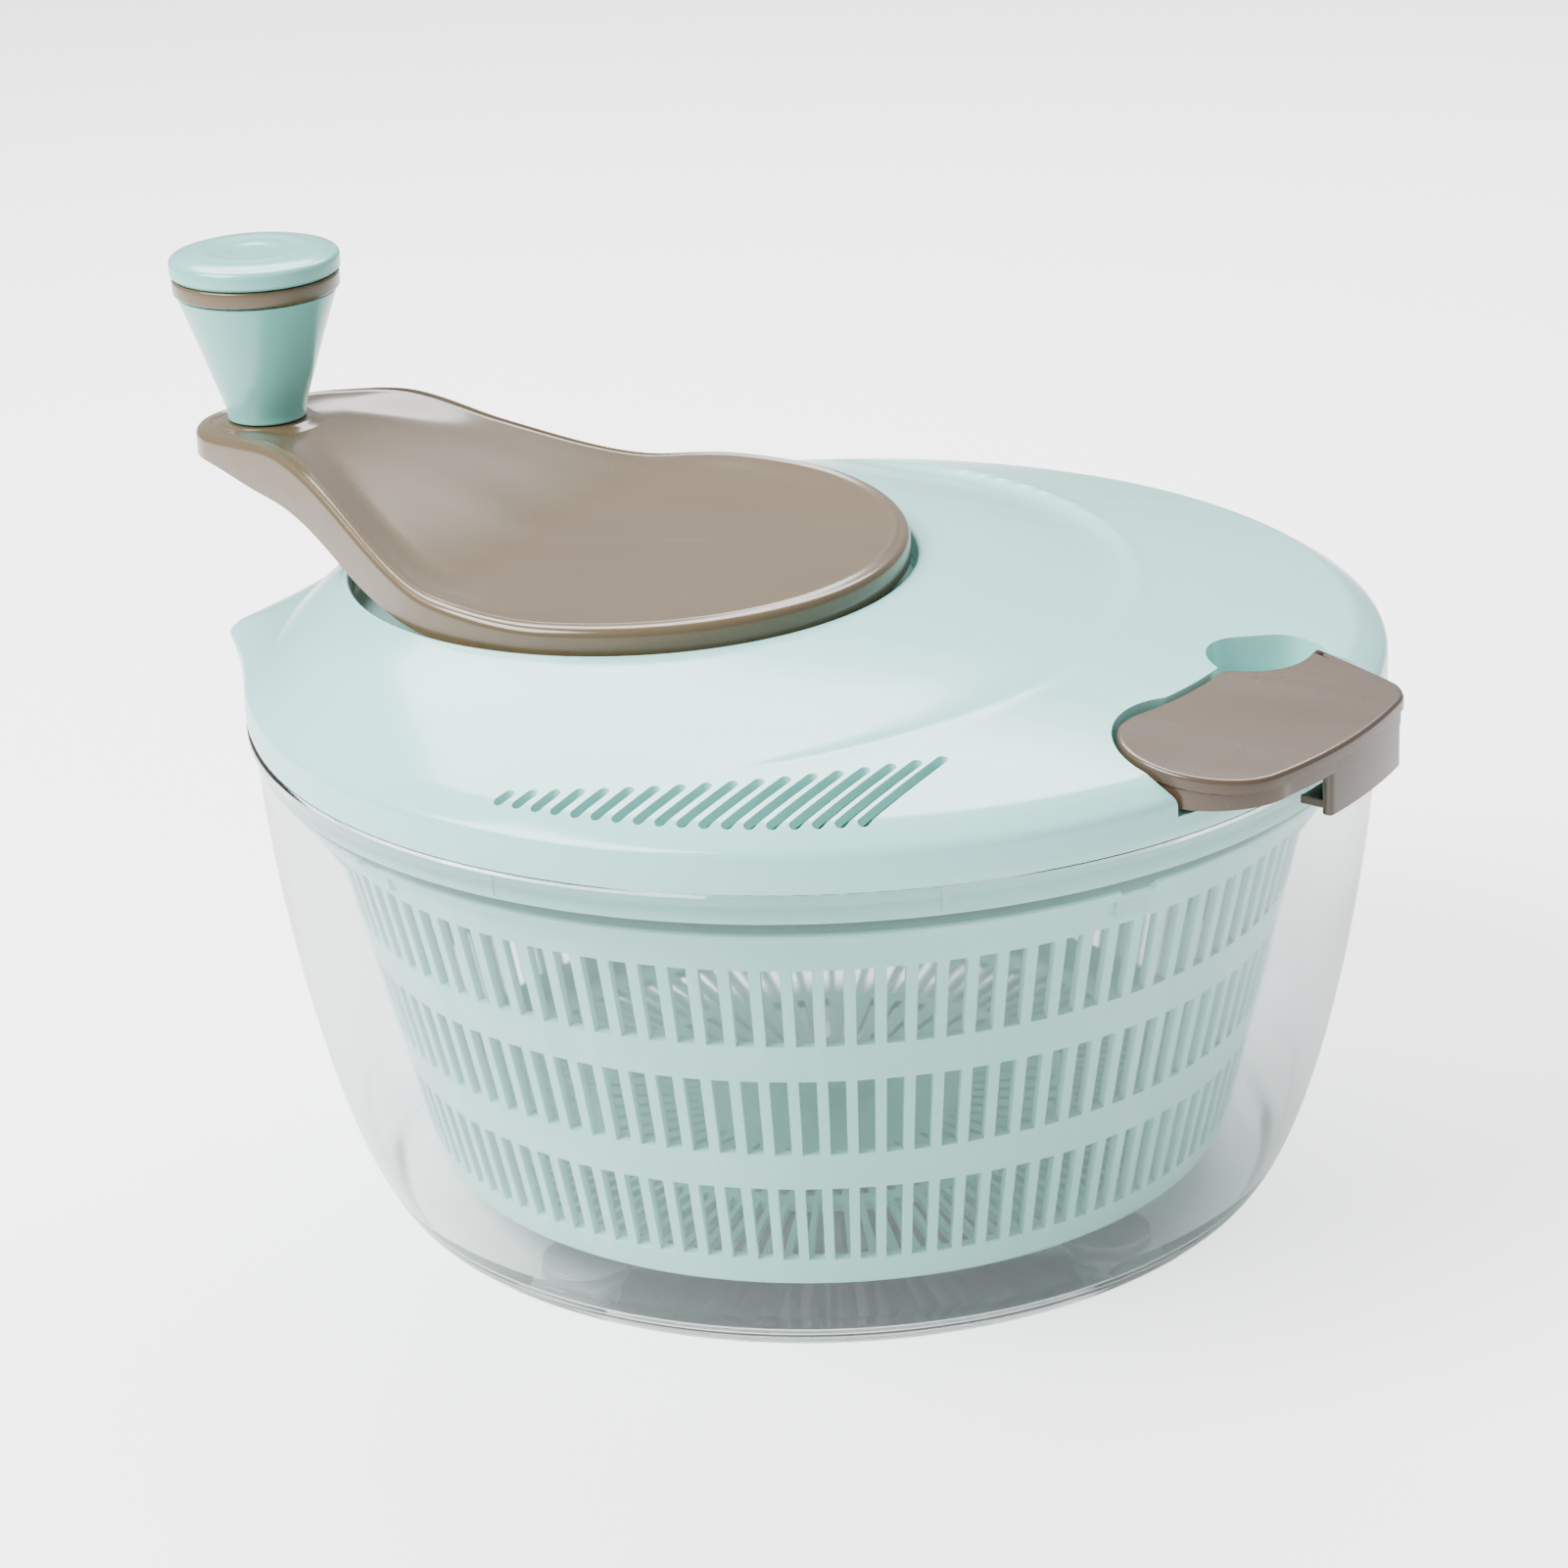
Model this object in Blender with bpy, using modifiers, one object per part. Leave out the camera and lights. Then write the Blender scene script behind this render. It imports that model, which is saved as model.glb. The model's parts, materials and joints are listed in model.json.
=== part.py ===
"""Salad spinner: a clear bowl with a slotted basket, and a lid with a crank, gears and a side latch.

Metres, +Z up. The origin is on the basket's spin axis, in the plane that the feet stand on.
+X points away from the lid's beak, so the crank's axis lies on the -X side of the lid.
"""

import bpy
import bmesh
from math import acos, asin, atan2, cos, hypot, pi, radians, sin
from mathutils import Matrix

MM = 0.001
GAP = 0.3 * MM  # between pieces that touch or seat on each other

# Bowl
BOWL_H = 114.7 * MM
BOWL_RIM_R = 126.0 * MM
BOWL_BASE_R = 99.0 * MM
BOWL_WALL = 2.2 * MM
BOWL_FLANGE_W = 1.5 * MM
BOWL_FLANGE_T = 2.5 * MM
BOWL_FLOOR_T = 3.0 * MM
BOWL_BELLY = 1.5  # how early the wall bends upright
BOWL_CORNER = 0.62  # how sharply the wall leaves the base
BOWL_SHARES = (0.78, 0.55, 0.34, 0.16, 0.05)  # of the wall's height, where its profile bends
PIVOT_POST_R = 4.0 * MM
PIVOT_POST_ROOT_R = 6.5 * MM
PIVOT_POST_H = 9.8 * MM  # above the bowl's floor
POST_TIP_SHARE = 0.6  # of the post's radius, left flat at its top
POST_TIP_DROP = 0.4  # of the post's radius, how far the bevel runs down

# Feet
FOOT_COUNT = 4
FOOT_R = 10.0 * MM
FOOT_INSET = 19.0 * MM  # from the bowl's base edge to the middle of a foot
FOOT_PHASE = radians(58)
FOOT_PROUD = 1.2 * MM  # below the bowl's underside
FOOT_SOCKET_DEPTH = 1.5 * MM
FOOT_EDGE = 0.8 * MM

# Basket
BASKET_UNDER_CLEAR = 6.3 * MM  # above the bowl's floor
BASKET_BASE_INSET = 8.0 * MM  # from the bowl's base edge
BASKET_MOUTH_GAP = 10.3 * MM  # between the bowl's mouth and the basket's wall
BASKET_FLOOR_T = 2.0 * MM
BASKET_WALL = 1.9 * MM
BASKET_CORNER = 3.0 * MM
BASKET_LIP_W = 1.6 * MM
BASKET_LIP_T = 2.4 * MM
BASKET_SLOTS = 64
BASKET_BAR_W = 3.334 * MM  # wall left between two slots, at the basket's foot
BASKET_ROWS = 3
BASKET_FOOT_BAND = 7.5 * MM  # solid wall below the first row of slots
BASKET_BAND = 8.75 * MM  # between rows
BASKET_TOP_BAND = 10.0 * MM
WALL_CUT_DEPTH = 20.0 * MM  # radial length of the boxes that cut the wall
FLOOR_SLOTS = 18
FLOOR_SLOT_W = 3.4 * MM
FLOOR_SLOT_IN_R = 30.0 * MM
FLOOR_SLOT_INSET = 11.0 * MM  # from the basket's lower edge to the slots' outer ends
HUB_CUP_WALL = 2.2 * MM
HUB_CUP_CLEAR = 1.0 * MM
DRIVE_LUGS = 4
DRIVE_LUG_W = 8.0 * MM
DRIVE_LUG_DEPTH = 4.0 * MM
DRIVE_LUG_CLEAR = 0.6 * MM

# Lid
LID_H = 26.3 * MM  # from the bowl's rim to the edge of the crank's recess
LID_SKIRT_H = 7.3 * MM
LID_EDGE_R = 7.0 * MM
LID_EDGE_H = 5.3 * MM  # how far the rounded edge climbs above the skirt
LID_WALL = 2.2 * MM
BEAK_REACH = 8.0 * MM
BEAK_HALF_ANGLE = radians(18)
PLUG_CLEAR = 1.032 * MM  # inside the bowl's wall at the plug's foot
PLUG_WALL = 2.2 * MM
PLUG_DEPTH = 7.7 * MM  # below the bowl's rim
PLUG_STAND = 0.6 * MM  # above the bowl's rim
PLUG_RIBS = 8
PLUG_RIB_W = 2.0 * MM
PLUG_RIB_PROUD = 0.7 * MM
PLUG_RIB_SHORT = 1.0 * MM  # at each end of a rib
COVER_T = 2.0 * MM
COVER_SCREWS = 6
COVER_SCREW_INSET = 38.0 * MM  # from the lid's rim to the screw circle
COVER_SCREW_R = 1.5 * MM
SCREW_HEAD_H = 1.6 * MM
SCREW_HEAD_R = 3.0 * MM
BOSS_R = 4.0 * MM
BOSS_BORE_DEPTH = 12.0 * MM
SCREW_TIP_CLEAR = 2.0 * MM
VENTS = 18
VENT_W = 2.4 * MM
VENT_FIRST = radians(-110.9)
VENT_SPAN = radians(35.1)
VENT_FAN = radians(10.4)  # how much further round the last vent's inner end lies
VENT_OUT_INSET = 7.0 * MM  # from the lid's rim to the outer ends
VENT_IN_INSET = 30.0 * MM  # from the lid's rim to the inner end of the longest vent
VENT_SHORT = 4.5 * MM
VENT_SKEW = radians(1.5)
VENT_GROWTH = 1.7  # how fast the vents lengthen round the rim

# Gears
MODULE = 1.0 * MM
CRANK_TEETH = 60
PINION_TEETH = 20
GEAR_FACE = 8.0 * MM
GEAR_BACKLASH = 0.30 * MM
TOOTH_TIP = 0.9  # modules above the pitch circle
TOOTH_ROOT = 1.2  # modules below it
TOOTH_TIP_SLOPE = 0.40
TOOTH_ROOT_SLOPE = 0.30
GEAR_CLEAR_ABOVE = 5.8 * MM  # from the gears to the underside of the recess

# Crank
RECESS_R = 63.0 * MM
RECESS_DEPTH = 7.0 * MM
CRANK_DISC_CLEAR = 1.5 * MM
CRANK_SUNK = 1.0 * MM
CRANK_THICK = 6.0 * MM
CRANK_REACH = 92.0 * MM
CRANK_ANGLE = radians(166)
CRANK_END_R = 16.5 * MM
CRANK_WAIST = 2.5 * MM
CRANK_RISE = 18.5 * MM
CRANK_RISE_FROM = 12.0 * MM
CRANK_LEVEL_END = 14.0 * MM  # level arm before the knob's axis
CRANK_HUB_R = 6.0 * MM
CRANK_BUSH_WALL = 1.4 * MM
CRANK_BUSH_DROP = 1.2 * MM  # below the recess's underside
CRANK_BUSH_FLANGE_R = 11.0 * MM
BUSH_FLANGE_T = 1.2 * MM
RUN_CLEAR = 0.25 * MM
CRANK_SCREW_R = 2.0 * MM
WASHER_R = 6.0 * MM
WASHER_T = 0.7 * MM
CRANK_SCREW_HEAD_R = 4.0 * MM
CRANK_SCREW_HEAD_H = 2.2 * MM
CRANK_SCREW_BITE = 9.0 * MM

# Driver
DRIVER_T = 2.0 * MM
DRIVER_FLOAT = 1.2 * MM  # between the driver's disc and its bush's flange
DRIVER_STUB_R = 5.0 * MM
DRIVER_BUSH_WALL = 1.4 * MM
DRIVER_BUSH_FLANGE_R = 10.0 * MM
COVER_HUB_WALL = 3.5 * MM
COVER_HUB_H = 4.0 * MM
DRIVER_SCREW_R = 1.5 * MM
DRIVER_SCREW_HEAD_R = 4.0 * MM
DRIVER_SCREW_HEAD_H = 2.2 * MM

# Knob
KNOB_SWELL = 1.15  # how late the knob widens
KNOB_BASE_R = 9.0 * MM
KNOB_TOP_R = 18.2 * MM
KNOB_BODY_H = 29.5 * MM
KNOB_RING_R = 18.9 * MM
KNOB_RING_H = 3.8 * MM
KNOB_RING_WALL = 5.0 * MM
KNOB_EDGE = 0.6 * MM
KNOB_CAP_R = 19.3 * MM
KNOB_CAP_H = 5.6 * MM
KNOB_CAP_EDGE_H = 3.4 * MM
KNOB_DIMPLE = 0.8 * MM
KNOB_PLUG_DEPTH = 3.0 * MM
KNOB_CAVITY_R = 12.0 * MM
KNOB_CAVITY_DEPTH = 12.0 * MM
KNOB_BOSS_R = 10.5 * MM
KNOB_BOSS_H = 1.0 * MM
SPINDLE_R = 3.0 * MM
SPINDLE_HEAD_R = 6.0 * MM
SPINDLE_HEAD_H = 2.0 * MM

# Latch
LATCH_PIVOT_INSET = 9.0 * MM  # from the lid's rim
LATCH_PIVOT_ANGLE = radians(-35.9)
LATCH_LOBE_R = 19.5 * MM
LATCH_IN_INSET = 27.0 * MM  # from the lid's rim to the latch's inner edge
LATCH_PROUD = 10.0 * MM  # beyond the lid's rim
LATCH_THICK = 3.2 * MM
LATCH_TILT = radians(6.8)
LATCH_LIFT = 1.2 * MM  # above the lid's rounded edge
LATCH_LOBE_FROM = radians(-22)  # the lobe's arc, from the pivot's own direction
LATCH_LOBE_TO = radians(-150)
LATCH_MIDDLE = radians(9)  # past the pivot, the direction in which the latch slopes down
SCALLOP_DEPTH = 5.0 * MM
LATCH_SLAB = 0.2  # side of the block that gives the latch its thickness
LATCH_CLEAR = 1.0 * MM
LATCH_WALL = 3.0 * MM
LATCH_CUSP_ANGLE = radians(-19.3)
LATCH_TIP_ANGLE = radians(-7.5)
LATCH_TIP_INSET = 13.5 * MM  # from the lid's rim to the inner corner of the finger end
LATCH_END_ANGLE = radians(-12.5)
LATCH_END_IN = 8.0 * MM  # from the latch's outer edge, where its end starts to round
LATCH_END_LEAN = radians(1.2)
LATCH_END_EDGE = 2.5 * MM
CLAW_FROM = radians(-29)
CLAW_TO = radians(-13.5)
CLAW_DROP = 3.2 * MM  # below the bowl's rim
CLAW_LIP_T = 2.2 * MM
CLAW_CLEAR = 0.7 * MM
LATCH_HUB_R = 6.0 * MM
LATCH_PIN_R = 2.5 * MM
LATCH_PIN_HEAD_R = 4.5 * MM
LATCH_PIN_HEAD_H = 1.5 * MM
WELL_R = 12.0 * MM
WELL_ANGLE = radians(-13.5)
WELL_INSET = 22.0 * MM  # from the lid's rim to the middle of the finger well
POCKET_FLOOR_UP = 4.9 * MM  # above the bowl's rim
POCKET_WALL = 2.0 * MM
POCKET_START = 0.55  # of the lobe's radius: where the pocket's inner edge leaves the lobe
POCKET_FLARE = radians(2.5)  # how far the pocket's open side leans out

# Levels and places that follow from the sizes above
BOWL_UNDER_Z = FOOT_PROUD
BOWL_FLOOR_Z = BOWL_UNDER_Z + BOWL_FLOOR_T
BOWL_NECK_R = BOWL_RIM_R - BOWL_FLANGE_W
BOWL_MOUTH_R = BOWL_NECK_R - BOWL_WALL
POST_TOP_Z = BOWL_FLOOR_Z + PIVOT_POST_H
FOOT_CIRCLE_R = BOWL_BASE_R - FOOT_INSET
LID_R = BOWL_RIM_R
LID_FOOT_Z = BOWL_H + GAP
LID_TOP_Z = BOWL_H + LID_H
RECESS_FLOOR_Z = LID_TOP_Z - RECESS_DEPTH
RECESS_UNDER_Z = RECESS_FLOOR_Z - LID_WALL
CENTRE_DISTANCE = MODULE * (CRANK_TEETH + PINION_TEETH) / 2
CRANK_X = -CENTRE_DISTANCE
GEAR_TOP_Z = RECESS_UNDER_Z - GEAR_CLEAR_ABOVE
GEAR_FOOT_Z = GEAR_TOP_Z - GEAR_FACE
CRANK_FOOT_Z = LID_TOP_Z - CRANK_SUNK
CRANK_TOP_Z = CRANK_FOOT_Z + CRANK_THICK
CRANK_DISC_R = RECESS_R - CRANK_DISC_CLEAR
CRANK_RISE_RUN = CRANK_REACH - CRANK_RISE_FROM - CRANK_LEVEL_END
ARM_TOP_Z = CRANK_TOP_Z + CRANK_RISE
ARM_FOOT_Z = ARM_TOP_Z - CRANK_THICK
KNOB_X = CRANK_X + CRANK_REACH * cos(CRANK_ANGLE)
KNOB_Y = CRANK_REACH * sin(CRANK_ANGLE)
KNOB_Z = ARM_TOP_Z + KNOB_BOSS_H + GAP
COVER_FOOT_Z = BOWL_H - PLUG_DEPTH
COVER_TOP_Z = COVER_FOOT_Z + COVER_T
COVER_SCREW_CIRCLE_R = LID_R - COVER_SCREW_INSET
DRIVER_TOP_Z = COVER_FOOT_Z - GAP - BUSH_FLANGE_T - DRIVER_FLOAT
DRIVER_FOOT_Z = DRIVER_TOP_Z - DRIVER_T
BASKET_FLOOR_Z = BOWL_FLOOR_Z + BASKET_UNDER_CLEAR
BASKET_TOP_Z = DRIVER_FOOT_Z - GAP
BASKET_H = BASKET_TOP_Z - BASKET_FLOOR_Z
BASKET_BOTTOM_R = BOWL_BASE_R - BASKET_BASE_INSET
BASKET_TOP_R = BOWL_MOUTH_R - BASKET_MOUTH_GAP
BASKET_SLOT_W = 2 * pi * BASKET_BOTTOM_R / BASKET_SLOTS - BASKET_BAR_W
BASKET_BANDS = BASKET_FOOT_BAND + BASKET_TOP_BAND + BASKET_BAND * (BASKET_ROWS - 1)
BASKET_SLOT_H = (BASKET_H - BASKET_BANDS) / BASKET_ROWS
FLOOR_SLOT_OUT_R = BASKET_BOTTOM_R - FLOOR_SLOT_INSET
LATCH_PIVOT_R = LID_R - LATCH_PIVOT_INSET
LATCH_X = LATCH_PIVOT_R * cos(LATCH_PIVOT_ANGLE)
LATCH_Y = LATCH_PIVOT_R * sin(LATCH_PIVOT_ANGLE)
LATCH_IN_R = LID_R - LATCH_IN_INSET
LATCH_OUT_R = LID_R + LATCH_PROUD
POCKET_FLOOR_Z = BOWL_H + POCKET_FLOOR_UP
POCKET_UNDER_Z = POCKET_FLOOR_Z - POCKET_WALL
FAR = 0.05  # how far a cutter runs past what it cuts

ROUND = 56  # sides of a large turned piece
BOSS_ROUND = 32
KNOB_ROUND = 28
HUB_ROUND = 24
SMALL_ROUND = 16  # sides of a pin, foot or bore
SCREW_ROUND = 10

AQUA = (0.62, 0.80, 0.77, 1.0)
TAUPE = (0.38, 0.32, 0.26, 1.0)
CLEAR = (0.93, 0.95, 0.96, 0.3)
RUBBER = (0.30, 0.32, 0.33, 1.0)
WHITE = (0.85, 0.85, 0.83, 1.0)
STEEL = (0.62, 0.62, 0.64, 1.0)


def clear_scene():
    for obj in list(bpy.data.objects):
        bpy.data.objects.remove(obj, do_unlink=True)


def make_collection(name, hidden):
    collection = bpy.data.collections.new(name)
    bpy.context.scene.collection.children.link(collection)
    collection.hide_render = hidden
    return collection


clear_scene()
PARTS = make_collection("salad_spinner", hidden=False)
CUTTERS = make_collection("cutters", hidden=True)


def finish_of(name, colour, roughness, metallic=0.0):
    """A Principled BSDF in the piece's colour."""
    material = bpy.data.materials.new(name)
    material.use_nodes = True
    shader = material.node_tree.nodes["Principled BSDF"]
    shader.inputs["Base Color"].default_value = colour
    shader.inputs["Roughness"].default_value = roughness
    shader.inputs["Metallic"].default_value = metallic
    shader.inputs["Alpha"].default_value = colour[3]
    return material


def place(name, mesh, finish=None):
    """The mesh as a part in its own material, or as a cutter where no finish is given."""
    obj = bpy.data.objects.new(name, mesh)
    if finish is None:
        CUTTERS.objects.link(obj)
        obj.hide_render = True
        obj.display_type = "WIRE"
    else:
        PARTS.objects.link(obj)
        mesh.materials.append(finish_of(name, *finish))
    return obj


def turned(name, profile, finish=None, sides=ROUND, at=(0, 0)):
    """A closed profile of (radius, height), down its outer side and back up, turned about a vertical axis."""
    mesh = bpy.data.meshes.new(name)
    points = [(r, 0, z) for r, z in profile]
    on_axis = profile[0][0] == 0 and profile[-1][0] == 0
    edges = [(i, i + 1) for i in range(len(points) - 1)]
    if not on_axis:
        edges.append((len(points) - 1, 0))
    mesh.from_pydata(points, edges, [])
    obj = place(name, mesh, finish)
    screw = obj.modifiers.new("Turn", "SCREW")
    screw.steps = sides
    screw.render_steps = sides
    screw.use_merge_vertices = True
    screw.merge_threshold = 0.00002
    screw.use_smooth_shade = True
    obj.location = (at[0], at[1], 0)
    return obj


def cylinder(name, r, z0, z1, at=(0, 0), finish=None, sides=SMALL_ROUND):
    return turned(name, [(0, z1), (r, z1), (r, z0), (0, z0)], finish, sides, at)


def tube(name, r_out, r_in, z0, z1, finish=None, sides=SMALL_ROUND, at=(0, 0)):
    return turned(name, [(r_in, z1), (r_out, z1), (r_out, z0), (r_in, z0)], finish, sides, at)


def prism(name, outlines, z0, z1, finish=None):
    """Flat outlines, the first one solid and the rest holes, extruded from z0 to z1."""
    curve = bpy.data.curves.new(name, "CURVE")
    curve.dimensions = "2D"
    curve.fill_mode = "BOTH"
    curve.extrude = (z1 - z0) / 2
    for outline in outlines:
        spline = curve.splines.new("POLY")
        spline.points.add(len(outline) - 1)
        for point, (x, y) in zip(spline.points, outline):
            point.co = (x, y, 0, 1)
        spline.use_cyclic_u = True
    drawn = bpy.data.objects.new(name + "_outline", curve)
    CUTTERS.objects.link(drawn)
    drawn.location = (0, 0, (z0 + z1) / 2)
    bpy.context.view_layer.update()
    graph = bpy.context.evaluated_depsgraph_get()
    mesh = bpy.data.meshes.new_from_object(drawn.evaluated_get(graph))
    mesh.transform(drawn.matrix_world)
    bpy.data.objects.remove(drawn, do_unlink=True)
    shape = bmesh.new()
    shape.from_mesh(mesh)
    bmesh.ops.remove_doubles(shape, verts=shape.verts, dist=0.000001)
    bmesh.ops.recalc_face_normals(shape, faces=shape.faces)
    shape.to_mesh(mesh)
    shape.free()
    mesh.name = name
    return place(name, mesh, finish)


def boxes(name, size, places):
    """One mesh of equal boxes: each place is (angle, radius, height of the middle) about the spin axis."""
    shape = bmesh.new()
    for angle, radius, z in places:
        turn = Matrix.Rotation(angle, 4, "Z")
        move = Matrix.Translation((radius, 0, z))
        grow = Matrix.Diagonal((*size, 1))
        bmesh.ops.create_cube(shape, size=1, matrix=turn @ move @ grow)
    mesh = bpy.data.meshes.new(name)
    shape.to_mesh(mesh)
    shape.free()
    return place(name, mesh)


def combine(obj, other, operation):
    boolean = obj.modifiers.new(operation.title() + " " + other.name, "BOOLEAN")
    boolean.operation = operation
    boolean.solver = "EXACT"
    boolean.object = other


def cut(obj, *others):
    for other in others:
        combine(obj, other, "DIFFERENCE")


def join(obj, *others):
    for other in others:
        combine(obj, other, "UNION")


def arc(radius, start, stop, steps, centre=(0, 0)):
    return [
        (
            centre[0] + radius * cos(start + (stop - start) * i / steps),
            centre[1] + radius * sin(start + (stop - start) * i / steps),
        )
        for i in range(steps + 1)
    ]


def polar(radius, angle):
    return (radius * cos(angle), radius * sin(angle))


def ring(radius):
    return [polar(radius, 2 * pi * i / SMALL_ROUND) for i in range(SMALL_ROUND)]


# Bowl and feet


def bowl_outer_r(z):
    """The bowl's outer radius at a height: it leaves the base fast and ends upright."""
    t = (z - BOWL_UNDER_Z) / (BOWL_H - BOWL_FLANGE_T - BOWL_UNDER_Z)
    rise = (1 - (1 - t) ** BOWL_BELLY) ** BOWL_CORNER
    return BOWL_BASE_R + (BOWL_NECK_R - BOWL_BASE_R) * rise


def bowl_mouth_r(z):
    """The bowl's inner radius near its mouth, at the middle of a facet."""
    bend_z = BOWL_UNDER_Z + (BOWL_H - BOWL_FLANGE_T - BOWL_UNDER_Z) * BOWL_SHARES[0]
    bend_r = bowl_outer_r(bend_z) - BOWL_WALL
    share = (z - bend_z) / (BOWL_H - bend_z)
    return (bend_r + (BOWL_MOUTH_R - bend_r) * share) * cos(pi / ROUND)


def make_bowl():
    neck_z = BOWL_H - BOWL_FLANGE_T
    heights = [BOWL_UNDER_Z + (neck_z - BOWL_UNDER_Z) * s for s in BOWL_SHARES]
    outer = [(bowl_outer_r(z), z) for z in heights]
    inner = [(bowl_outer_r(z) - BOWL_WALL, z) for z in reversed(heights) if z > BOWL_FLOOR_Z + BOWL_WALL]
    floor_r = bowl_outer_r(BOWL_FLOOR_Z) - BOWL_WALL
    profile = [(BOWL_MOUTH_R, BOWL_H), (BOWL_RIM_R, BOWL_H), (BOWL_RIM_R, neck_z), (BOWL_NECK_R, neck_z)]
    profile += outer + [(BOWL_BASE_R, BOWL_UNDER_Z), (0, BOWL_UNDER_Z)]
    floor = [(0, POST_TOP_Z), (PIVOT_POST_R * POST_TIP_SHARE, POST_TOP_Z)]
    floor += [(PIVOT_POST_R, POST_TOP_Z - PIVOT_POST_R * POST_TIP_DROP)]
    floor += [(PIVOT_POST_ROOT_R, BOWL_FLOOR_Z), (floor_r, BOWL_FLOOR_Z)]
    # Up the inside from the post, over the rim and down the outside to the axis.
    bowl = turned("bowl", floor + inner + profile, (CLEAR, 0.05))
    sockets = foot_circle()
    for number, at in enumerate(sockets, 1):
        roof = BOWL_UNDER_Z + FOOT_SOCKET_DEPTH
        cut(bowl, cylinder(f"foot_socket_{number}", FOOT_R + GAP, -FAR, roof, at))
    return bowl


def foot_circle():
    return [polar(FOOT_CIRCLE_R, FOOT_PHASE + 2 * pi * i / FOOT_COUNT) for i in range(FOOT_COUNT)]


def make_feet():
    top = BOWL_UNDER_Z + FOOT_SOCKET_DEPTH - GAP
    for number, at in enumerate(foot_circle(), 1):
        profile = [(0, top), (FOOT_R, top), (FOOT_R, FOOT_EDGE), (FOOT_R - FOOT_EDGE, 0), (0, 0)]
        turned(f"foot_{number}", profile, (RUBBER, 0.8), SMALL_ROUND, at)


# Basket


def basket_outer_r(z):
    """The basket's outer radius at a height above its underside."""
    return BASKET_BOTTOM_R + (BASKET_TOP_R - BASKET_BOTTOM_R) * z / BASKET_H


def make_basket():
    cup_r = PIVOT_POST_ROOT_R + HUB_CUP_CLEAR
    cup_roof = POST_TOP_Z + GAP
    cup_top = cup_roof + HUB_CUP_WALL
    floor_top = BASKET_FLOOR_Z + BASKET_FLOOR_T
    lip_r = BASKET_TOP_R + BASKET_LIP_W
    lip_z = BASKET_TOP_Z - BASKET_LIP_T
    slope_r = basket_outer_r(BASKET_H - BASKET_LIP_T)
    profile = [
        (0, cup_top),
        (cup_r, cup_top),
        (cup_r + HUB_CUP_WALL, floor_top),
        (BASKET_BOTTOM_R - BASKET_WALL - BASKET_CORNER / 2, floor_top),
        (basket_outer_r(BASKET_CORNER + BASKET_FLOOR_T) - BASKET_WALL, floor_top + BASKET_CORNER),
        (BASKET_TOP_R - BASKET_WALL, BASKET_TOP_Z),
        (lip_r, BASKET_TOP_Z),
        (lip_r, lip_z),
        (slope_r, lip_z),
        (basket_outer_r(BASKET_CORNER), BASKET_FLOOR_Z + BASKET_CORNER),
        (BASKET_BOTTOM_R - BASKET_CORNER, BASKET_FLOOR_Z),
        (cup_r, BASKET_FLOOR_Z),
        (cup_r * 0.8, cup_roof),
        (0, cup_roof),
    ]
    basket = turned("basket", profile, (AQUA, 0.3), BASKET_SLOTS)
    pitch = 2 * pi / BASKET_SLOTS
    for row in range(BASKET_ROWS):
        middle = BASKET_FOOT_BAND + BASKET_SLOT_H / 2 + row * (BASKET_SLOT_H + BASKET_BAND)
        radius = basket_outer_r(middle)
        places = [((i + 0.5) * pitch, radius, BASKET_FLOOR_Z + middle) for i in range(BASKET_SLOTS)]
        cut(basket, boxes(f"slot_row_{row + 1}", (WALL_CUT_DEPTH, BASKET_SLOT_W, BASKET_SLOT_H), places))
    reach = FLOOR_SLOT_OUT_R - FLOOR_SLOT_IN_R
    middle_r = (FLOOR_SLOT_OUT_R + FLOOR_SLOT_IN_R) / 2
    places = [(2 * pi * i / FLOOR_SLOTS, middle_r, BASKET_FLOOR_Z) for i in range(FLOOR_SLOTS)]
    cut(basket, boxes("floor_slots", (reach, FLOOR_SLOT_W, 4 * BASKET_FLOOR_T), places))
    notch = (WALL_CUT_DEPTH, DRIVE_LUG_W + 2 * DRIVE_LUG_CLEAR, 2 * (DRIVE_LUG_DEPTH + DRIVE_LUG_CLEAR))
    places = [(angle, BASKET_TOP_R, BASKET_TOP_Z) for angle in lug_angles()]
    cut(basket, boxes("drive_notches", notch, places))
    return basket


def lug_angles():
    return [2 * pi * (i + 0.5) / DRIVE_LUGS for i in range(DRIVE_LUGS)]


# Lid


def beak(angle):
    """0 round the rim, rising to 1 at the beak's tip, with hollow flanks."""
    off = abs(atan2(sin(angle - pi), cos(angle - pi)))
    return max(0.0, 1 - off / BEAK_HALF_ANGLE) ** 2


def lid_rings():
    """(centre x, radius, height, share of the beak) from the skirt's foot to the recess's edge."""
    skirt_z = LID_FOOT_Z + LID_SKIRT_H
    rings = [(0, LID_R, LID_FOOT_Z, 0), (0, LID_R, skirt_z, 1)]
    for step in (1, 2):
        turn = step * pi / 4
        edge_r = LID_R - LID_EDGE_R * (1 - cos(turn))
        rings.append((0, edge_r, skirt_z + LID_EDGE_H * sin(turn), 1 - step / 2))
    rings.append((CRANK_X, RECESS_R + GAP, LID_TOP_Z, 0))
    return rings


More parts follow.
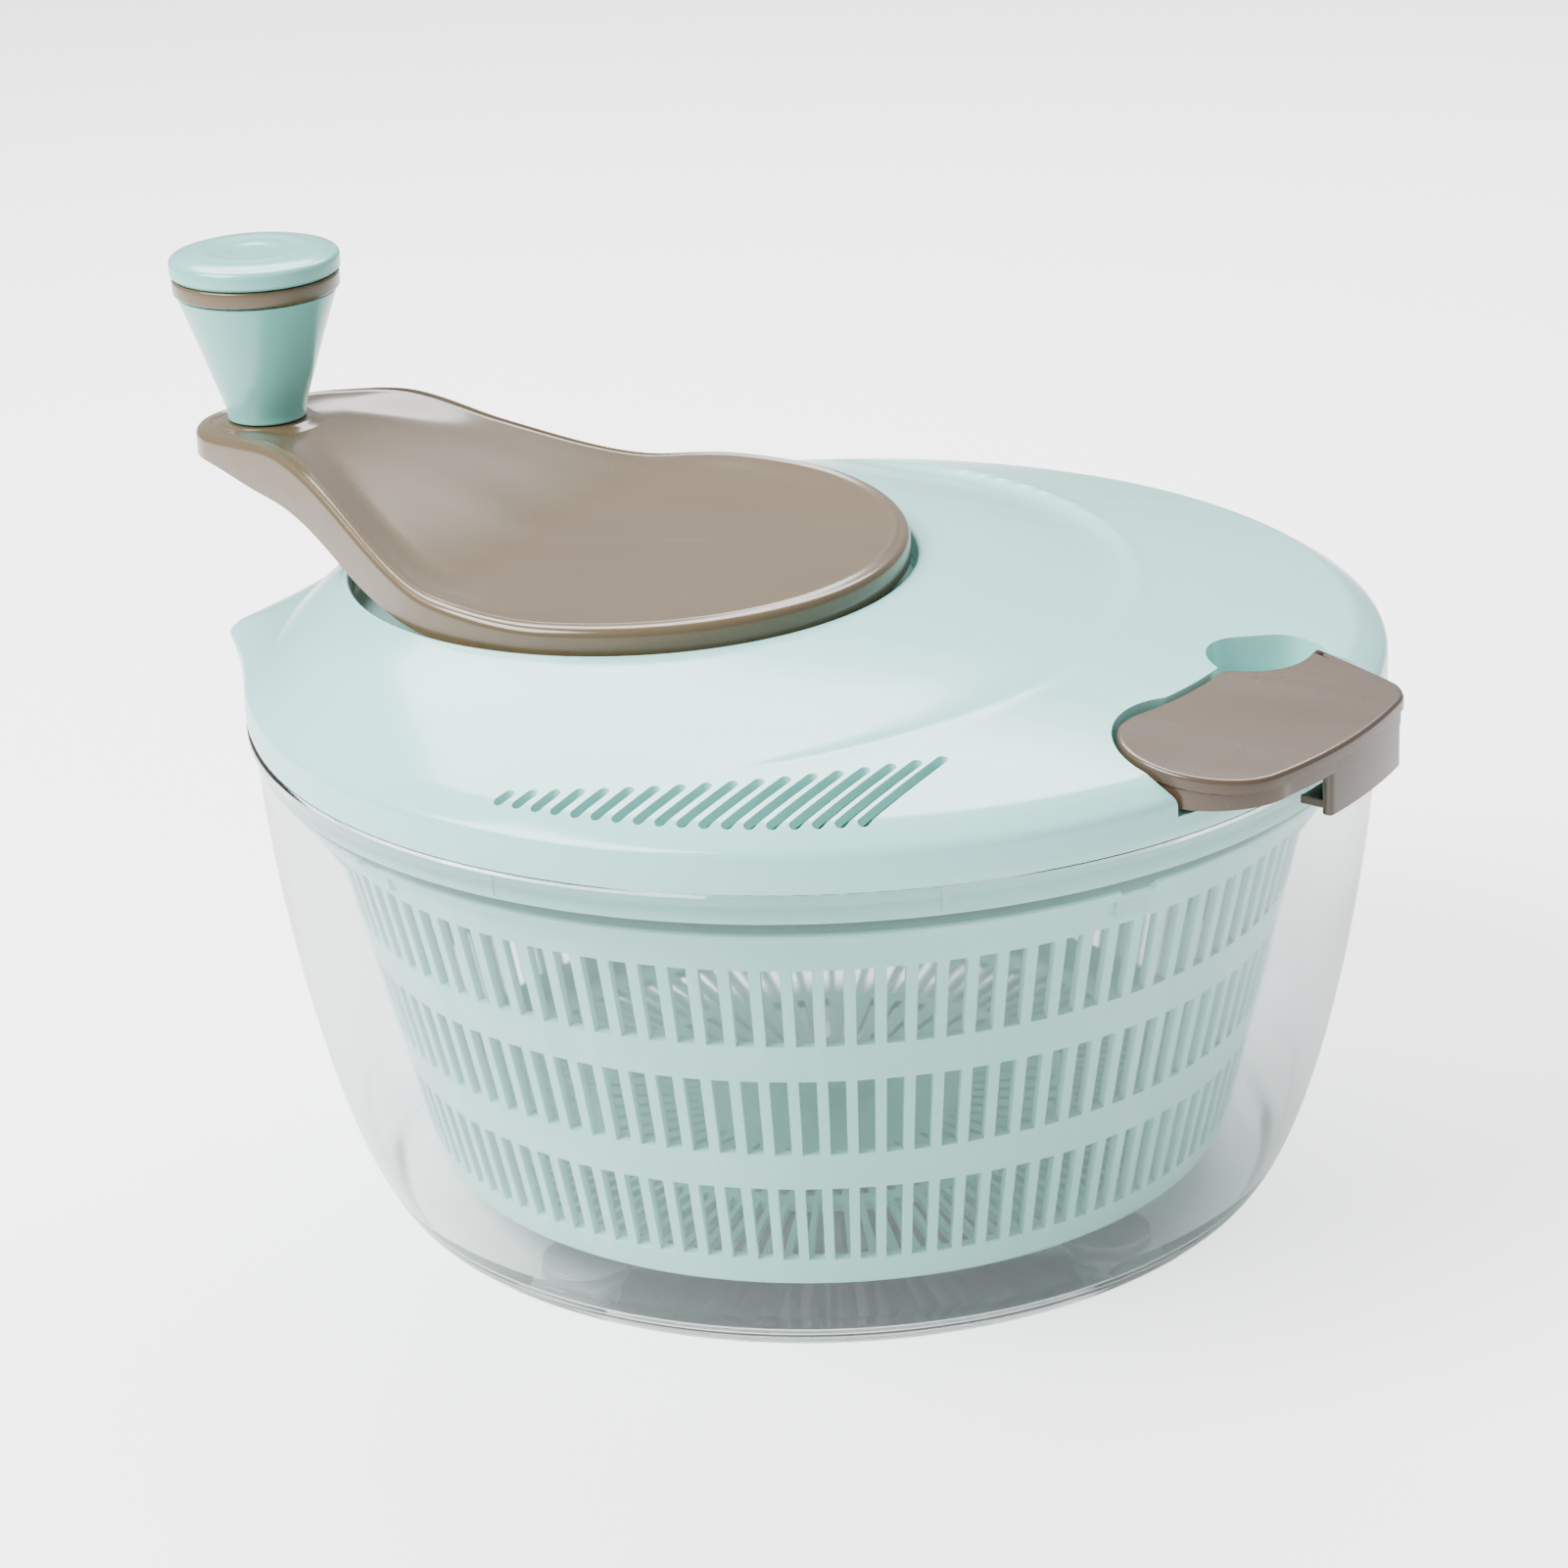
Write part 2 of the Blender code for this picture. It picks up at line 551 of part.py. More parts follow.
def ring_stack(rings, closed):
    """A surface through a stack of circles, open at both ends or capped to make it solid."""
    shape = bmesh.new()
    loops = []
    for x, r, z, share in rings:
        made = []
        for i in range(ROUND):
            angle = 2 * pi * i / ROUND
            out = r + BEAK_REACH * share * beak(angle)
            made.append(shape.verts.new((x + out * cos(angle), out * sin(angle), z)))
        loops.append(made)
    for lower, upper in zip(loops, loops[1:]):
        for i in range(ROUND):
            j = (i + 1) % ROUND
            shape.faces.new((lower[i], lower[j], upper[j], upper[i]))
    if closed:
        shape.faces.new(list(reversed(loops[0])))
        shape.faces.new(loops[-1])
    mesh = bpy.data.meshes.new("ring_stack")
    shape.to_mesh(mesh)
    shape.free()
    return mesh


def pocket(name, grow, z0, z1):
    """The latch's pocket with its finger well, grown outwards by a wall where one is wanted."""
    lobe = cylinder(name, LATCH_LOBE_R + LATCH_CLEAR + grow, z0, z1, (LATCH_X, LATCH_Y), sides=HUB_ROUND)
    inner_r = LATCH_IN_R - LATCH_CLEAR - grow
    far_r = LATCH_OUT_R + FAR
    start = LATCH_PIVOT_ANGLE - asin(LATCH_LOBE_R * POCKET_START / LATCH_PIVOT_R)
    stop = LATCH_CUSP_ANGLE
    side = LATCH_TIP_ANGLE + (LATCH_CLEAR + grow) / LID_R
    inner = arc(inner_r, start, stop, 4)
    outer = [polar(far_r, side - POCKET_FLARE), polar(far_r, LATCH_PIVOT_ANGLE)]
    tip = [polar(LID_R - LATCH_TIP_INSET - LATCH_CLEAR - grow, side)]
    body = prism(name + "_body", [inner + tip + outer], z0, z1)
    well = cylinder(name + "_well", WELL_R + grow, z0, z1, polar(LID_R - WELL_INSET, WELL_ANGLE))
    join(lobe, body, well)
    return lobe


def vent_ends(number):
    """The outer and inner ends of a vent: they fan out and grow longer round the rim."""
    share = number / (VENTS - 1)
    outer = polar(LID_R - VENT_OUT_INSET, VENT_FIRST + VENT_SPAN * share)
    longest = VENT_IN_INSET - VENT_OUT_INSET - VENT_SHORT
    inset = VENT_OUT_INSET + VENT_SHORT + longest * (1 - (1 - share) ** VENT_GROWTH)
    inner = polar(LID_R - inset, VENT_FIRST + VENT_SKEW + (VENT_SPAN + VENT_FAN - VENT_SKEW) * share)
    return outer, inner


def make_vent_cutter():
    shape = bmesh.new()
    for number in range(VENTS):
        (x0, y0), (x1, y1) = vent_ends(number)
        turn = Matrix.Rotation(atan2(y1 - y0, x1 - x0), 4, "Z")
        move = Matrix.Translation(((x0 + x1) / 2, (y0 + y1) / 2, LID_TOP_Z))
        grow = Matrix.Diagonal((hypot(x1 - x0, y1 - y0), VENT_W, 2 * (LID_TOP_Z - POCKET_FLOOR_Z), 1))
        bmesh.ops.create_cube(shape, size=1, matrix=move @ turn @ grow)
    mesh = bpy.data.meshes.new("vents")
    shape.to_mesh(mesh)
    shape.free()
    return place("vents", mesh)


def screw_circle():
    return [polar(COVER_SCREW_CIRCLE_R, pi * (2 * i + 1) / COVER_SCREWS) for i in range(COVER_SCREWS)]


def make_lid():
    rings = lid_rings()
    bush_r = CRANK_HUB_R + RUN_CLEAR + CRANK_BUSH_WALL + GAP
    recess = [(CRANK_X, RECESS_R, LID_TOP_Z - GAP, 0), (CRANK_X, RECESS_R, RECESS_FLOOR_Z, 0)]
    recess.append((CRANK_X, bush_r, RECESS_FLOOR_Z, 0))
    lid = place("lid_shell", ring_stack(rings + recess, closed=False), (AQUA, 0.25))
    shell = lid.modifiers.new("Shell", "SOLIDIFY")
    shell.thickness = LID_WALL
    shell.offset = -1
    shell.use_even_offset = True
    envelope = place("lid_envelope", ring_stack(rings, closed=True))
    walls = pocket("pocket_walls", POCKET_WALL, POCKET_UNDER_Z, LID_TOP_Z)
    combine(walls, envelope, "INTERSECT")
    join(lid, walls)
    roof = RECESS_FLOOR_Z - LID_WALL / 2
    mid_wall = [(x, r, z - LID_WALL / 2, share) for x, r, z, share in rings]
    boss_limit = place("boss_limit", ring_stack(mid_wall, closed=True))
    for number, at in enumerate(screw_circle(), 1):
        boss = cylinder(f"boss_{number}", BOSS_R, COVER_TOP_Z + GAP, roof, at, sides=SCREW_ROUND)
        combine(boss, boss_limit, "INTERSECT")
        join(lid, boss)
        bore_top = COVER_TOP_Z + BOSS_BORE_DEPTH
        bore_r = COVER_SCREW_R + RUN_CLEAR
        cut(lid, cylinder(f"boss_bore_{number}", bore_r, COVER_FOOT_Z, bore_top, at, sides=SCREW_ROUND))
    cut(lid, pocket("pocket_space", 0, POCKET_FLOOR_Z, LID_TOP_Z + FAR))
    pin_at = (LATCH_X, LATCH_Y)
    cut(lid, cylinder("latch_pin_hole", LATCH_PIN_R + RUN_CLEAR, COVER_TOP_Z, LID_TOP_Z, pin_at))
    cut(lid, make_vent_cutter())
    return lid


def make_gear_cover():
    """The lid's closed underside: a plug ring that centres it, and a hub for the driver's bush."""
    ring_top = BOWL_H + PLUG_STAND
    plug_r = bowl_mouth_r(COVER_FOOT_Z) - PLUG_CLEAR
    bush_r = DRIVER_STUB_R + RUN_CLEAR + DRIVER_BUSH_WALL + GAP
    hub_r = bush_r + COVER_HUB_WALL
    hub_top = COVER_TOP_Z + COVER_HUB_H
    profile = [
        (plug_r - PLUG_WALL, ring_top),
        (plug_r, ring_top),
        (plug_r, COVER_FOOT_Z),
        (bush_r, COVER_FOOT_Z),
        (bush_r, hub_top),
        (hub_r, hub_top),
        (hub_r, COVER_TOP_Z),
        (plug_r - PLUG_WALL, COVER_TOP_Z),
    ]
    cover = turned("gear_cover", profile, (AQUA, 0.35))
    rib_h = PLUG_DEPTH - 2 * PLUG_RIB_SHORT
    rib_r = plug_r + PLUG_RIB_PROUD / 2 - GAP
    rib_z = COVER_FOOT_Z + rib_h / 2 + PLUG_RIB_SHORT
    places = [(2 * pi * (i + 0.5) / PLUG_RIBS, rib_r, rib_z) for i in range(PLUG_RIBS)]
    join(cover, boxes("plug_ribs", (PLUG_RIB_PROUD + 2 * GAP, PLUG_RIB_W, rib_h), places))
    for number, at in enumerate(screw_circle(), 1):
        hole_r = COVER_SCREW_R + RUN_CLEAR
        hole = cylinder(f"cover_hole_{number}", hole_r, -FAR, COVER_TOP_Z + FAR, at, sides=SCREW_ROUND)
        cut(cover, hole)
    return cover


def make_cover_screws():
    head_top = COVER_FOOT_Z - GAP
    head_foot = head_top - SCREW_HEAD_H
    tip = COVER_TOP_Z + BOSS_BORE_DEPTH - SCREW_TIP_CLEAR
    for number, at in enumerate(screw_circle(), 1):
        screw(f"cover_screw_{number}", COVER_SCREW_R, SCREW_HEAD_R, head_foot, head_top, tip, at)


def screw(name, shank_r, head_r, head_foot, head_top, tip, at):
    """A screw driven upwards, its domed head below."""
    profile = [
        (0, tip),
        (shank_r * 0.5, tip),
        (shank_r, tip - shank_r),
        (shank_r, head_top),
        (head_r, head_top),
        (head_r, head_foot + (head_top - head_foot) * 0.5),
        (head_r * 0.7, head_foot),
        (0, head_foot),
    ]
    return turned(name, profile, (STEEL, 0.3, 1.0), SCREW_ROUND, at)


# Gears, crank and driver


def gear_outline(teeth, phase):
    """Straight-flanked teeth about the origin, the first one centred on the phase."""
    pitch_r = MODULE * teeth / 2
    root_r = pitch_r - TOOTH_ROOT * MODULE
    tip_r = pitch_r + TOOTH_TIP * MODULE
    half = (pi * MODULE / 2 - GEAR_BACKLASH) / 2
    root_half = half + TOOTH_ROOT * MODULE * TOOTH_ROOT_SLOPE
    tip_half = half - TOOTH_TIP * MODULE * TOOTH_TIP_SLOPE
    outline = []
    for i in range(teeth):
        middle = phase + 2 * pi * i / teeth
        outline.append(polar(root_r, middle - root_half / root_r))
        outline.append(polar(tip_r, middle - tip_half / tip_r))
        outline.append(polar(tip_r, middle + tip_half / tip_r))
        outline.append(polar(root_r, middle + root_half / root_r))
    return outline


def make_gears():
    bore = CRANK_SCREW_R + RUN_CLEAR
    outline = [gear_outline(CRANK_TEETH, 0), ring(bore)]
    wheel = prism("crank_gear", outline, GEAR_FOOT_Z, GEAR_TOP_Z, (WHITE, 0.5))
    wheel.location = (CRANK_X, 0, 0)
    bore = DRIVER_SCREW_R + RUN_CLEAR
    outline = [gear_outline(PINION_TEETH, pi / PINION_TEETH), ring(bore)]
    prism("pinion_gear", outline, GEAR_FOOT_Z, GEAR_TOP_Z, (WHITE, 0.5))


def crank_outline():
    """Half of the crank from above, from the disc's far side to the knob end, with a waist in its flank."""
    lean = acos((CRANK_DISC_R - CRANK_END_R) / CRANK_REACH)
    disc = arc(CRANK_DISC_R, pi, lean, 22)
    end = arc(CRANK_END_R, lean, 0, 8, (CRANK_REACH, 0))
    (x0, y0), (x1, y1) = disc[-1], end[0]
    flank = []
    for i in range(1, 8):
        share = i / 8
        sag = CRANK_WAIST * 16 * (share * (1 - share)) ** 2
        flank.append((x0 + (x1 - x0) * share - sag * cos(lean), y0 + (y1 - y0) * share - sag * sin(lean)))
    return disc + flank + end


def crank_rise(x):
    share = min(1.0, max(0.0, (x - CRANK_RISE_FROM) / CRANK_RISE_RUN))
    return CRANK_RISE * share * share * (3 - 2 * share)


def make_crank():
    """The disc and its arm: the outline seen from above, kept where the side view's S-curve passes."""
    half = crank_outline()
    outline = half + [(x, -y) for x, y in reversed(half[1:-1])]
    low, high = CRANK_FOOT_Z - FAR / 2, ARM_TOP_Z + FAR / 2
    crank = prism("crank_arm", [outline], low, high, (TAUPE, 0.2))
    near, far = -CRANK_DISC_R - MM, CRANK_REACH + CRANK_END_R + MM
    xs = [near] + [CRANK_RISE_FROM + CRANK_RISE_RUN * i / 12 for i in range(13)] + [far]
    top = [(x, CRANK_TOP_Z + crank_rise(x)) for x in xs]
    foot = [(x, CRANK_FOOT_Z + crank_rise(x)) for x in reversed(xs)]
    side = prism("crank_side", [top + foot], -0.2, 0.2)
    side.rotation_euler = (pi / 2, 0, 0)
    combine(crank, side, "INTERSECT")
    hub_foot = GEAR_TOP_Z + GAP
    hub_top = CRANK_FOOT_Z + CRANK_THICK / 2
    join(crank, cylinder("crank_hub", CRANK_HUB_R, hub_foot, hub_top, sides=HUB_ROUND))
    boss_foot = ARM_TOP_Z - CRANK_THICK / 2
    boss_top = ARM_TOP_Z + KNOB_BOSS_H
    end = (CRANK_REACH, 0)
    join(crank, cylinder("knob_boss", KNOB_BOSS_R, boss_foot, boss_top, end, sides=BOSS_ROUND))
    bore_top = GEAR_TOP_Z + CRANK_SCREW_BITE + MM
    cut(crank, cylinder("crank_bore", CRANK_SCREW_R + RUN_CLEAR, GEAR_FOOT_Z, bore_top))
    hole = cylinder("spindle_hole", SPINDLE_R + RUN_CLEAR, CRANK_FOOT_Z, KNOB_Z + MM, end)
    cut(crank, hole)
    pivot = bpy.data.objects.new("crank_pivot", None)
    PARTS.objects.link(pivot)
    pivot.location = (CRANK_X, 0, 0)
    pivot.rotation_euler = (0, 0, CRANK_ANGLE)
    crank.parent = pivot
    for helper in ("crank_side", "crank_hub", "knob_boss", "crank_bore", "spindle_hole"):
        bpy.data.objects[helper].parent = pivot
    return crank


def make_crank_fixings():
    at = (CRANK_X, 0)
    bush_in = CRANK_HUB_R + RUN_CLEAR
    bush_out = bush_in + CRANK_BUSH_WALL
    flange_z = RECESS_FLOOR_Z + GAP
    tube_foot = RECESS_UNDER_Z - CRANK_BUSH_DROP
    profile = [
        (bush_in, flange_z + BUSH_FLANGE_T),
        (CRANK_BUSH_FLANGE_R, flange_z + BUSH_FLANGE_T),
        (CRANK_BUSH_FLANGE_R, flange_z),
        (bush_out, flange_z),
        (bush_out, tube_foot),
        (bush_in, tube_foot),
    ]
    turned("crank_bush", profile, (WHITE, 0.4), HUB_ROUND, at)
    washer_top = GEAR_FOOT_Z - GAP
    washer_foot = washer_top - WASHER_T
    bore = CRANK_SCREW_R + RUN_CLEAR
    tube("crank_washer", WASHER_R, bore, washer_foot, washer_top, (STEEL, 0.3, 1.0), HUB_ROUND, at)
    head_top = washer_foot - GAP
    head_foot = head_top - CRANK_SCREW_HEAD_H
    tip = GEAR_TOP_Z + CRANK_SCREW_BITE
    screw("crank_screw", CRANK_SCREW_R, CRANK_SCREW_HEAD_R, head_foot, head_top, tip, at)


def make_driver():
    """The disc that turns the basket by lugs in its rim, with a stub up to the pinion."""
    bore = DRIVER_SCREW_R + RUN_CLEAR
    stub_top = GEAR_FOOT_Z - GAP
    profile = [
        (bore, stub_top),
        (DRIVER_STUB_R, stub_top),
        (DRIVER_STUB_R, DRIVER_TOP_Z),
        (BASKET_TOP_R, DRIVER_TOP_Z),
        (BASKET_TOP_R, DRIVER_FOOT_Z),
        (bore, DRIVER_FOOT_Z),
    ]
    disc = turned("driver_disc", profile, (AQUA, 0.35))
    lug_in = BASKET_WALL * 2.5
    depth = DRIVE_LUG_DEPTH + DRIVER_T / 2
    size = (lug_in, DRIVE_LUG_W, depth)
    middle = DRIVER_TOP_Z - DRIVER_T / 2 - depth / 2
    places = [(angle, BASKET_TOP_R - lug_in / 2 - GAP, middle) for angle in lug_angles()]
    join(disc, boxes("drive_lugs", size, places))
    bush_in = DRIVER_STUB_R + RUN_CLEAR
    bush_out = bush_in + DRIVER_BUSH_WALL
    flange_top = COVER_FOOT_Z - GAP
    bush_top = COVER_TOP_Z + COVER_HUB_H
    profile = [
        (bush_in, bush_top),
        (bush_out, bush_top),
        (bush_out, flange_top),
        (DRIVER_BUSH_FLANGE_R, flange_top),
        (DRIVER_BUSH_FLANGE_R, flange_top - BUSH_FLANGE_T),
        (bush_in, flange_top - BUSH_FLANGE_T),
    ]
    turned("driver_bush", profile, (WHITE, 0.4), HUB_ROUND)
    head_top = DRIVER_FOOT_Z - GAP
    tip = GEAR_TOP_Z - MM
    head_foot = head_top - DRIVER_SCREW_HEAD_H
    screw("driver_screw", DRIVER_SCREW_R, DRIVER_SCREW_HEAD_R, head_foot, head_top, tip, (0, 0))


# Knob


def make_knob():
    at = (KNOB_X, KNOB_Y)
    bore = SPINDLE_R + RUN_CLEAR
    body_top = KNOB_Z + KNOB_BODY_H
    cavity = body_top - KNOB_CAVITY_DEPTH
    swell = [0.3, 0.65, 0.93]
    spread = KNOB_TOP_R - KNOB_BASE_R
    side = [(KNOB_BASE_R + spread * t**KNOB_SWELL, KNOB_Z + KNOB_BODY_H * t) for t in reversed(swell)]
    profile = [(KNOB_CAVITY_R, body_top), (KNOB_TOP_R, body_top)] + side
    profile += [(KNOB_BASE_R, KNOB_Z), (bore, KNOB_Z), (bore, cavity), (KNOB_CAVITY_R, cavity)]
    turned("knob_body", profile, (AQUA, 0.25), KNOB_ROUND, at)
    ring_foot = body_top + GAP
    ring_top = ring_foot + KNOB_RING_H
    ring_in = KNOB_RING_R - KNOB_RING_WALL
    profile = [
        (ring_in, ring_top),
        (KNOB_RING_R - KNOB_EDGE, ring_top),
        (KNOB_RING_R, ring_top - KNOB_EDGE),
        (KNOB_RING_R, ring_foot + KNOB_EDGE),
        (KNOB_RING_R - KNOB_EDGE, ring_foot),
        (ring_in, ring_foot),
    ]
    turned("knob_ring", profile, (TAUPE, 0.25), KNOB_ROUND, at)
    cap_foot = ring_top + GAP
    cap_top = cap_foot + KNOB_CAP_H
    plug_r = ring_in - GAP
    profile = [
        (0, cap_top - KNOB_DIMPLE),
        (0.45 * KNOB_CAP_R, cap_top - KNOB_DIMPLE / 2),
        (0.62 * KNOB_CAP_R, cap_top),
        (0.86 * KNOB_CAP_R, cap_top - KNOB_DIMPLE * 0.6),
        (KNOB_CAP_R, cap_foot + KNOB_CAP_EDGE_H),
        (KNOB_CAP_R, cap_foot + KNOB_EDGE),
        (KNOB_CAP_R - KNOB_EDGE, cap_foot),
        (plug_r, cap_foot),
        (plug_r, cap_foot - KNOB_PLUG_DEPTH),
        (0, cap_foot - KNOB_PLUG_DEPTH),
    ]
    turned("knob_cap", profile, (AQUA, 0.25), KNOB_ROUND, at)
    head_foot = cavity + GAP
    profile = [
        (0, head_foot + SPINDLE_HEAD_H),
        (SPINDLE_HEAD_R, head_foot + SPINDLE_HEAD_H),
        (SPINDLE_HEAD_R, head_foot),
        (SPINDLE_R, head_foot),
        (SPINDLE_R, ARM_FOOT_Z + MM),
        (0, ARM_FOOT_Z + MM),
    ]
    turned("knob_spindle", profile, (STEEL, 0.3, 1.0), SMALL_ROUND, at)


# Latch


def latch_outline():
    """The latch from above: a round lobe about its pin, an edge along the rim and a finger scallop."""
    pivot = (LATCH_X, LATCH_Y)
    lobe_from = LATCH_PIVOT_ANGLE + LATCH_LOBE_FROM
    lobe = arc(LATCH_LOBE_R, lobe_from, LATCH_PIVOT_ANGLE + LATCH_LOBE_TO, 12, pivot)
    inner = arc(LATCH_IN_R, LATCH_PIVOT_ANGLE - radians(2.5), LATCH_CUSP_ANGLE, 6)
    cusp, tip = polar(LATCH_IN_R, LATCH_CUSP_ANGLE), polar(LID_R - LATCH_TIP_INSET, LATCH_TIP_ANGLE)
    scallop = []
    for i in range(1, 7):
        share = i / 7
        sag = SCALLOP_DEPTH * 4 * share * (1 - share)
        run_x, run_y = tip[0] - cusp[0], tip[1] - cusp[1]
        run = hypot(run_x, run_y)
        x = cusp[0] + run_x * share + sag * run_y / run
        y = cusp[1] + run_y * share - sag * run_x / run
        scallop.append((x, y))
    end = [polar(LATCH_OUT_R - LATCH_END_IN, LATCH_END_ANGLE + LATCH_END_LEAN)]
    end.append(polar(LATCH_OUT_R - LATCH_END_EDGE, LATCH_END_ANGLE))
    outer = arc(LATCH_OUT_R, LATCH_END_ANGLE - radians(2), LATCH_PIVOT_ANGLE - radians(1.5), 8)
    return lobe + inner[:-1] + [cusp] + scallop + [tip] + end + outer


def rim_sector(name, r_in, r_out, start, stop, z0, z1):
    outline = arc(r_in, start, stop, 8) + arc(r_out, stop, start, 8)
    return prism(name, [outline], z0, z1)


def make_latch():
    low, high = POCKET_FLOOR_Z, LID_TOP_Z
    latch = prism("latch", [latch_outline()], low - FAR, high + FAR, (TAUPE, 0.3))
    middle_angle = LATCH_PIVOT_ANGLE + LATCH_MIDDLE
    middle = polar(LID_R, middle_angle)
    rim_z = LID_FOOT_Z + LID_SKIRT_H + LID_EDGE_H * 0.75 + LATCH_LIFT
    slab = boxes("latch_slab", (LATCH_SLAB, LATCH_SLAB, LATCH_THICK), [(0, 0, -LATCH_THICK / 2)])
    tilt = Matrix.Rotation(middle_angle, 4, "Z") @ Matrix.Rotation(LATCH_TILT, 4, "Y")
    slab.matrix_world = Matrix.Translation((*middle, rim_z)) @ tilt
    combine(latch, slab, "INTERSECT")
    wall_top = rim_z - LATCH_THICK * 0.6 - LATCH_PROUD * sin(LATCH_TILT)
    wall_in = LATCH_OUT_R - LATCH_WALL
    wall_out = LATCH_OUT_R - 0.4 * MM
    skirt_from = LATCH_PIVOT_ANGLE - radians(1.0)
    skirt_to = LATCH_END_ANGLE - radians(3)
    skirt_foot = POCKET_FLOOR_Z + MM
    join(latch, rim_sector("latch_skirt", wall_in, wall_out, skirt_from, skirt_to, skirt_foot, wall_top))
    claw_foot = BOWL_H - CLAW_DROP
    claw = rim_sector("claw_wall", wall_in, wall_out, CLAW_FROM, CLAW_TO - radians(2), claw_foot, wall_top)
    lip_in = BOWL_RIM_R + CLAW_CLEAR
    lip_to = CLAW_TO - radians(3)
    lip_foot, lip_top = claw_foot + GAP, claw_foot + CLAW_LIP_T
    lip = rim_sector("claw_lip", lip_in, wall_out - MM, CLAW_FROM + radians(1), lip_to, lip_foot, lip_top)
    hub_top = rim_z - LATCH_THICK / 2
    at = (LATCH_X, LATCH_Y)
    hub = cylinder("latch_hub", LATCH_HUB_R, POCKET_FLOOR_Z + GAP, hub_top, at, sides=HUB_ROUND)
    join(latch, claw, lip, hub)
    bore_top = rim_z - LATCH_THICK
    cut(latch, cylinder("latch_bore", LATCH_PIN_R + RUN_CLEAR, low - FAR, bore_top, at))
    profile = [
        (0, bore_top - MM),
        (LATCH_PIN_R, bore_top - MM),
        (LATCH_PIN_R, POCKET_UNDER_Z - GAP),
        (LATCH_PIN_HEAD_R, POCKET_UNDER_Z - GAP),
        (LATCH_PIN_HEAD_R, POCKET_UNDER_Z - GAP - LATCH_PIN_HEAD_H),
        (0, POCKET_UNDER_Z - GAP - LATCH_PIN_HEAD_H),
    ]
    turned("latch_pin", profile, (STEEL, 0.3, 1.0), SMALL_ROUND, at)


make_bowl()
make_feet()
make_basket()
make_lid()
make_gear_cover()
make_cover_screws()
make_gears()
make_crank()
make_crank_fixings()
make_driver()
make_knob()
make_latch()
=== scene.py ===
"""Looks for the salad spinner: clear bowl, slotted basket, domed lid, paddle crank, knob and side latch.

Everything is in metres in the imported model's frame: +Z goes up along the basket's spin axis, and the
lid's beak points towards -X.
"""

import json
from math import acos, atan2, cos, exp, hypot, pi, radians, sin, sqrt

import bmesh
import bpy
from mathutils import Matrix, Quaternion, Vector
from mathutils.geometry import convex_hull_2d


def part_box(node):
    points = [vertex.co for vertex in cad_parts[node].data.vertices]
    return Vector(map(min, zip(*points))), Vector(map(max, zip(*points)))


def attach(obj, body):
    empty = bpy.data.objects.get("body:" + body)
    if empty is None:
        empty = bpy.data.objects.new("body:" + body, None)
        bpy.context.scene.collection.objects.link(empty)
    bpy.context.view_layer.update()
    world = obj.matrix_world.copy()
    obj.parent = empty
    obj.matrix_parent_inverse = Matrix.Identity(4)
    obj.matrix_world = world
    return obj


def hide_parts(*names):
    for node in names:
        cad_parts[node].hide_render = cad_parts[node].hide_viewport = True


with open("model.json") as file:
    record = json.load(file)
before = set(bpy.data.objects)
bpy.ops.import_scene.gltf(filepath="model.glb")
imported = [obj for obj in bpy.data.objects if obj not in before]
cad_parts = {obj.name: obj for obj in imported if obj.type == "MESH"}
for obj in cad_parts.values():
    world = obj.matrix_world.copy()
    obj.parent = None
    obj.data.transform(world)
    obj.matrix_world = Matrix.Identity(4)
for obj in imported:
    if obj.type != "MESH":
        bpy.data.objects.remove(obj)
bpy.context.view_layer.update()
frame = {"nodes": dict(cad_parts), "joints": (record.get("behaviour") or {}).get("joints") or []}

MM = 0.001
JOINTS = {joint["name"]: joint for joint in frame["joints"]}

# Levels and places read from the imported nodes
BOWL_LOW, BOWL_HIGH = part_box("bowl")
BASKET_LOW, BASKET_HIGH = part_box("basket")
COVER_LOW, COVER_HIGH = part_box("gear_cover")
CRANK_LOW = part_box("crank_arm")[0]
LATCH_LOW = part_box("latch")[0]
KNOB_BODY_LOW, KNOB_BODY_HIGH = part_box("knob_body")
KNOB_RING_LOW, KNOB_RING_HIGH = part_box("knob_ring")
KNOB_CAP_LOW, KNOB_CAP_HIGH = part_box("knob_cap")
KNOB_AT = ((KNOB_BODY_LOW.x + KNOB_BODY_HIGH.x) / 2, (KNOB_BODY_LOW.y + KNOB_BODY_HIGH.y) / 2)
LATCH_AT = tuple(JOINTS["latch_swing"]["pos_m"][:2])
CRANK_X = JOINTS["crank_turn"]["pos_m"][0]

# Bowl
BOWL_RIM_R = BOWL_HIGH.x
BOWL_TOP = BOWL_HIGH.z
BOWL_UNDER = BOWL_LOW.z
BOWL_BASE_R = 99.0 * MM
BOWL_FLANGE_W = 1.5 * MM
BOWL_FLANGE_T = 2.5 * MM
BOWL_WALL = 2.2 * MM
BOWL_FLOOR_T = 3.0 * MM
BOWL_BELLY = 1.5
BOWL_CORNER = 0.62
POST_R = 4.0 * MM
POST_ROOT_R = 6.5 * MM
POST_TOP = BOWL_UNDER + BOWL_FLOOR_T + 9.8 * MM
FOOT_R = 10.0 * MM
FOOT_GROOVE_R = 5.2 * MM

# Basket
BASKET_BOTTOM_R = 91.0 * MM
BASKET_TOP_R = 112.0 * MM
BASKET_WALL = 1.9 * MM
BASKET_COLUMNS = 108
SLOT_SHARE = 0.62
SLOT_ROWS = 3
NOTCHED = -1
FOOT_BAND = 7.5 * MM
MIDDLE_BAND = 8.75 * MM
TOP_BAND = 10.0 * MM

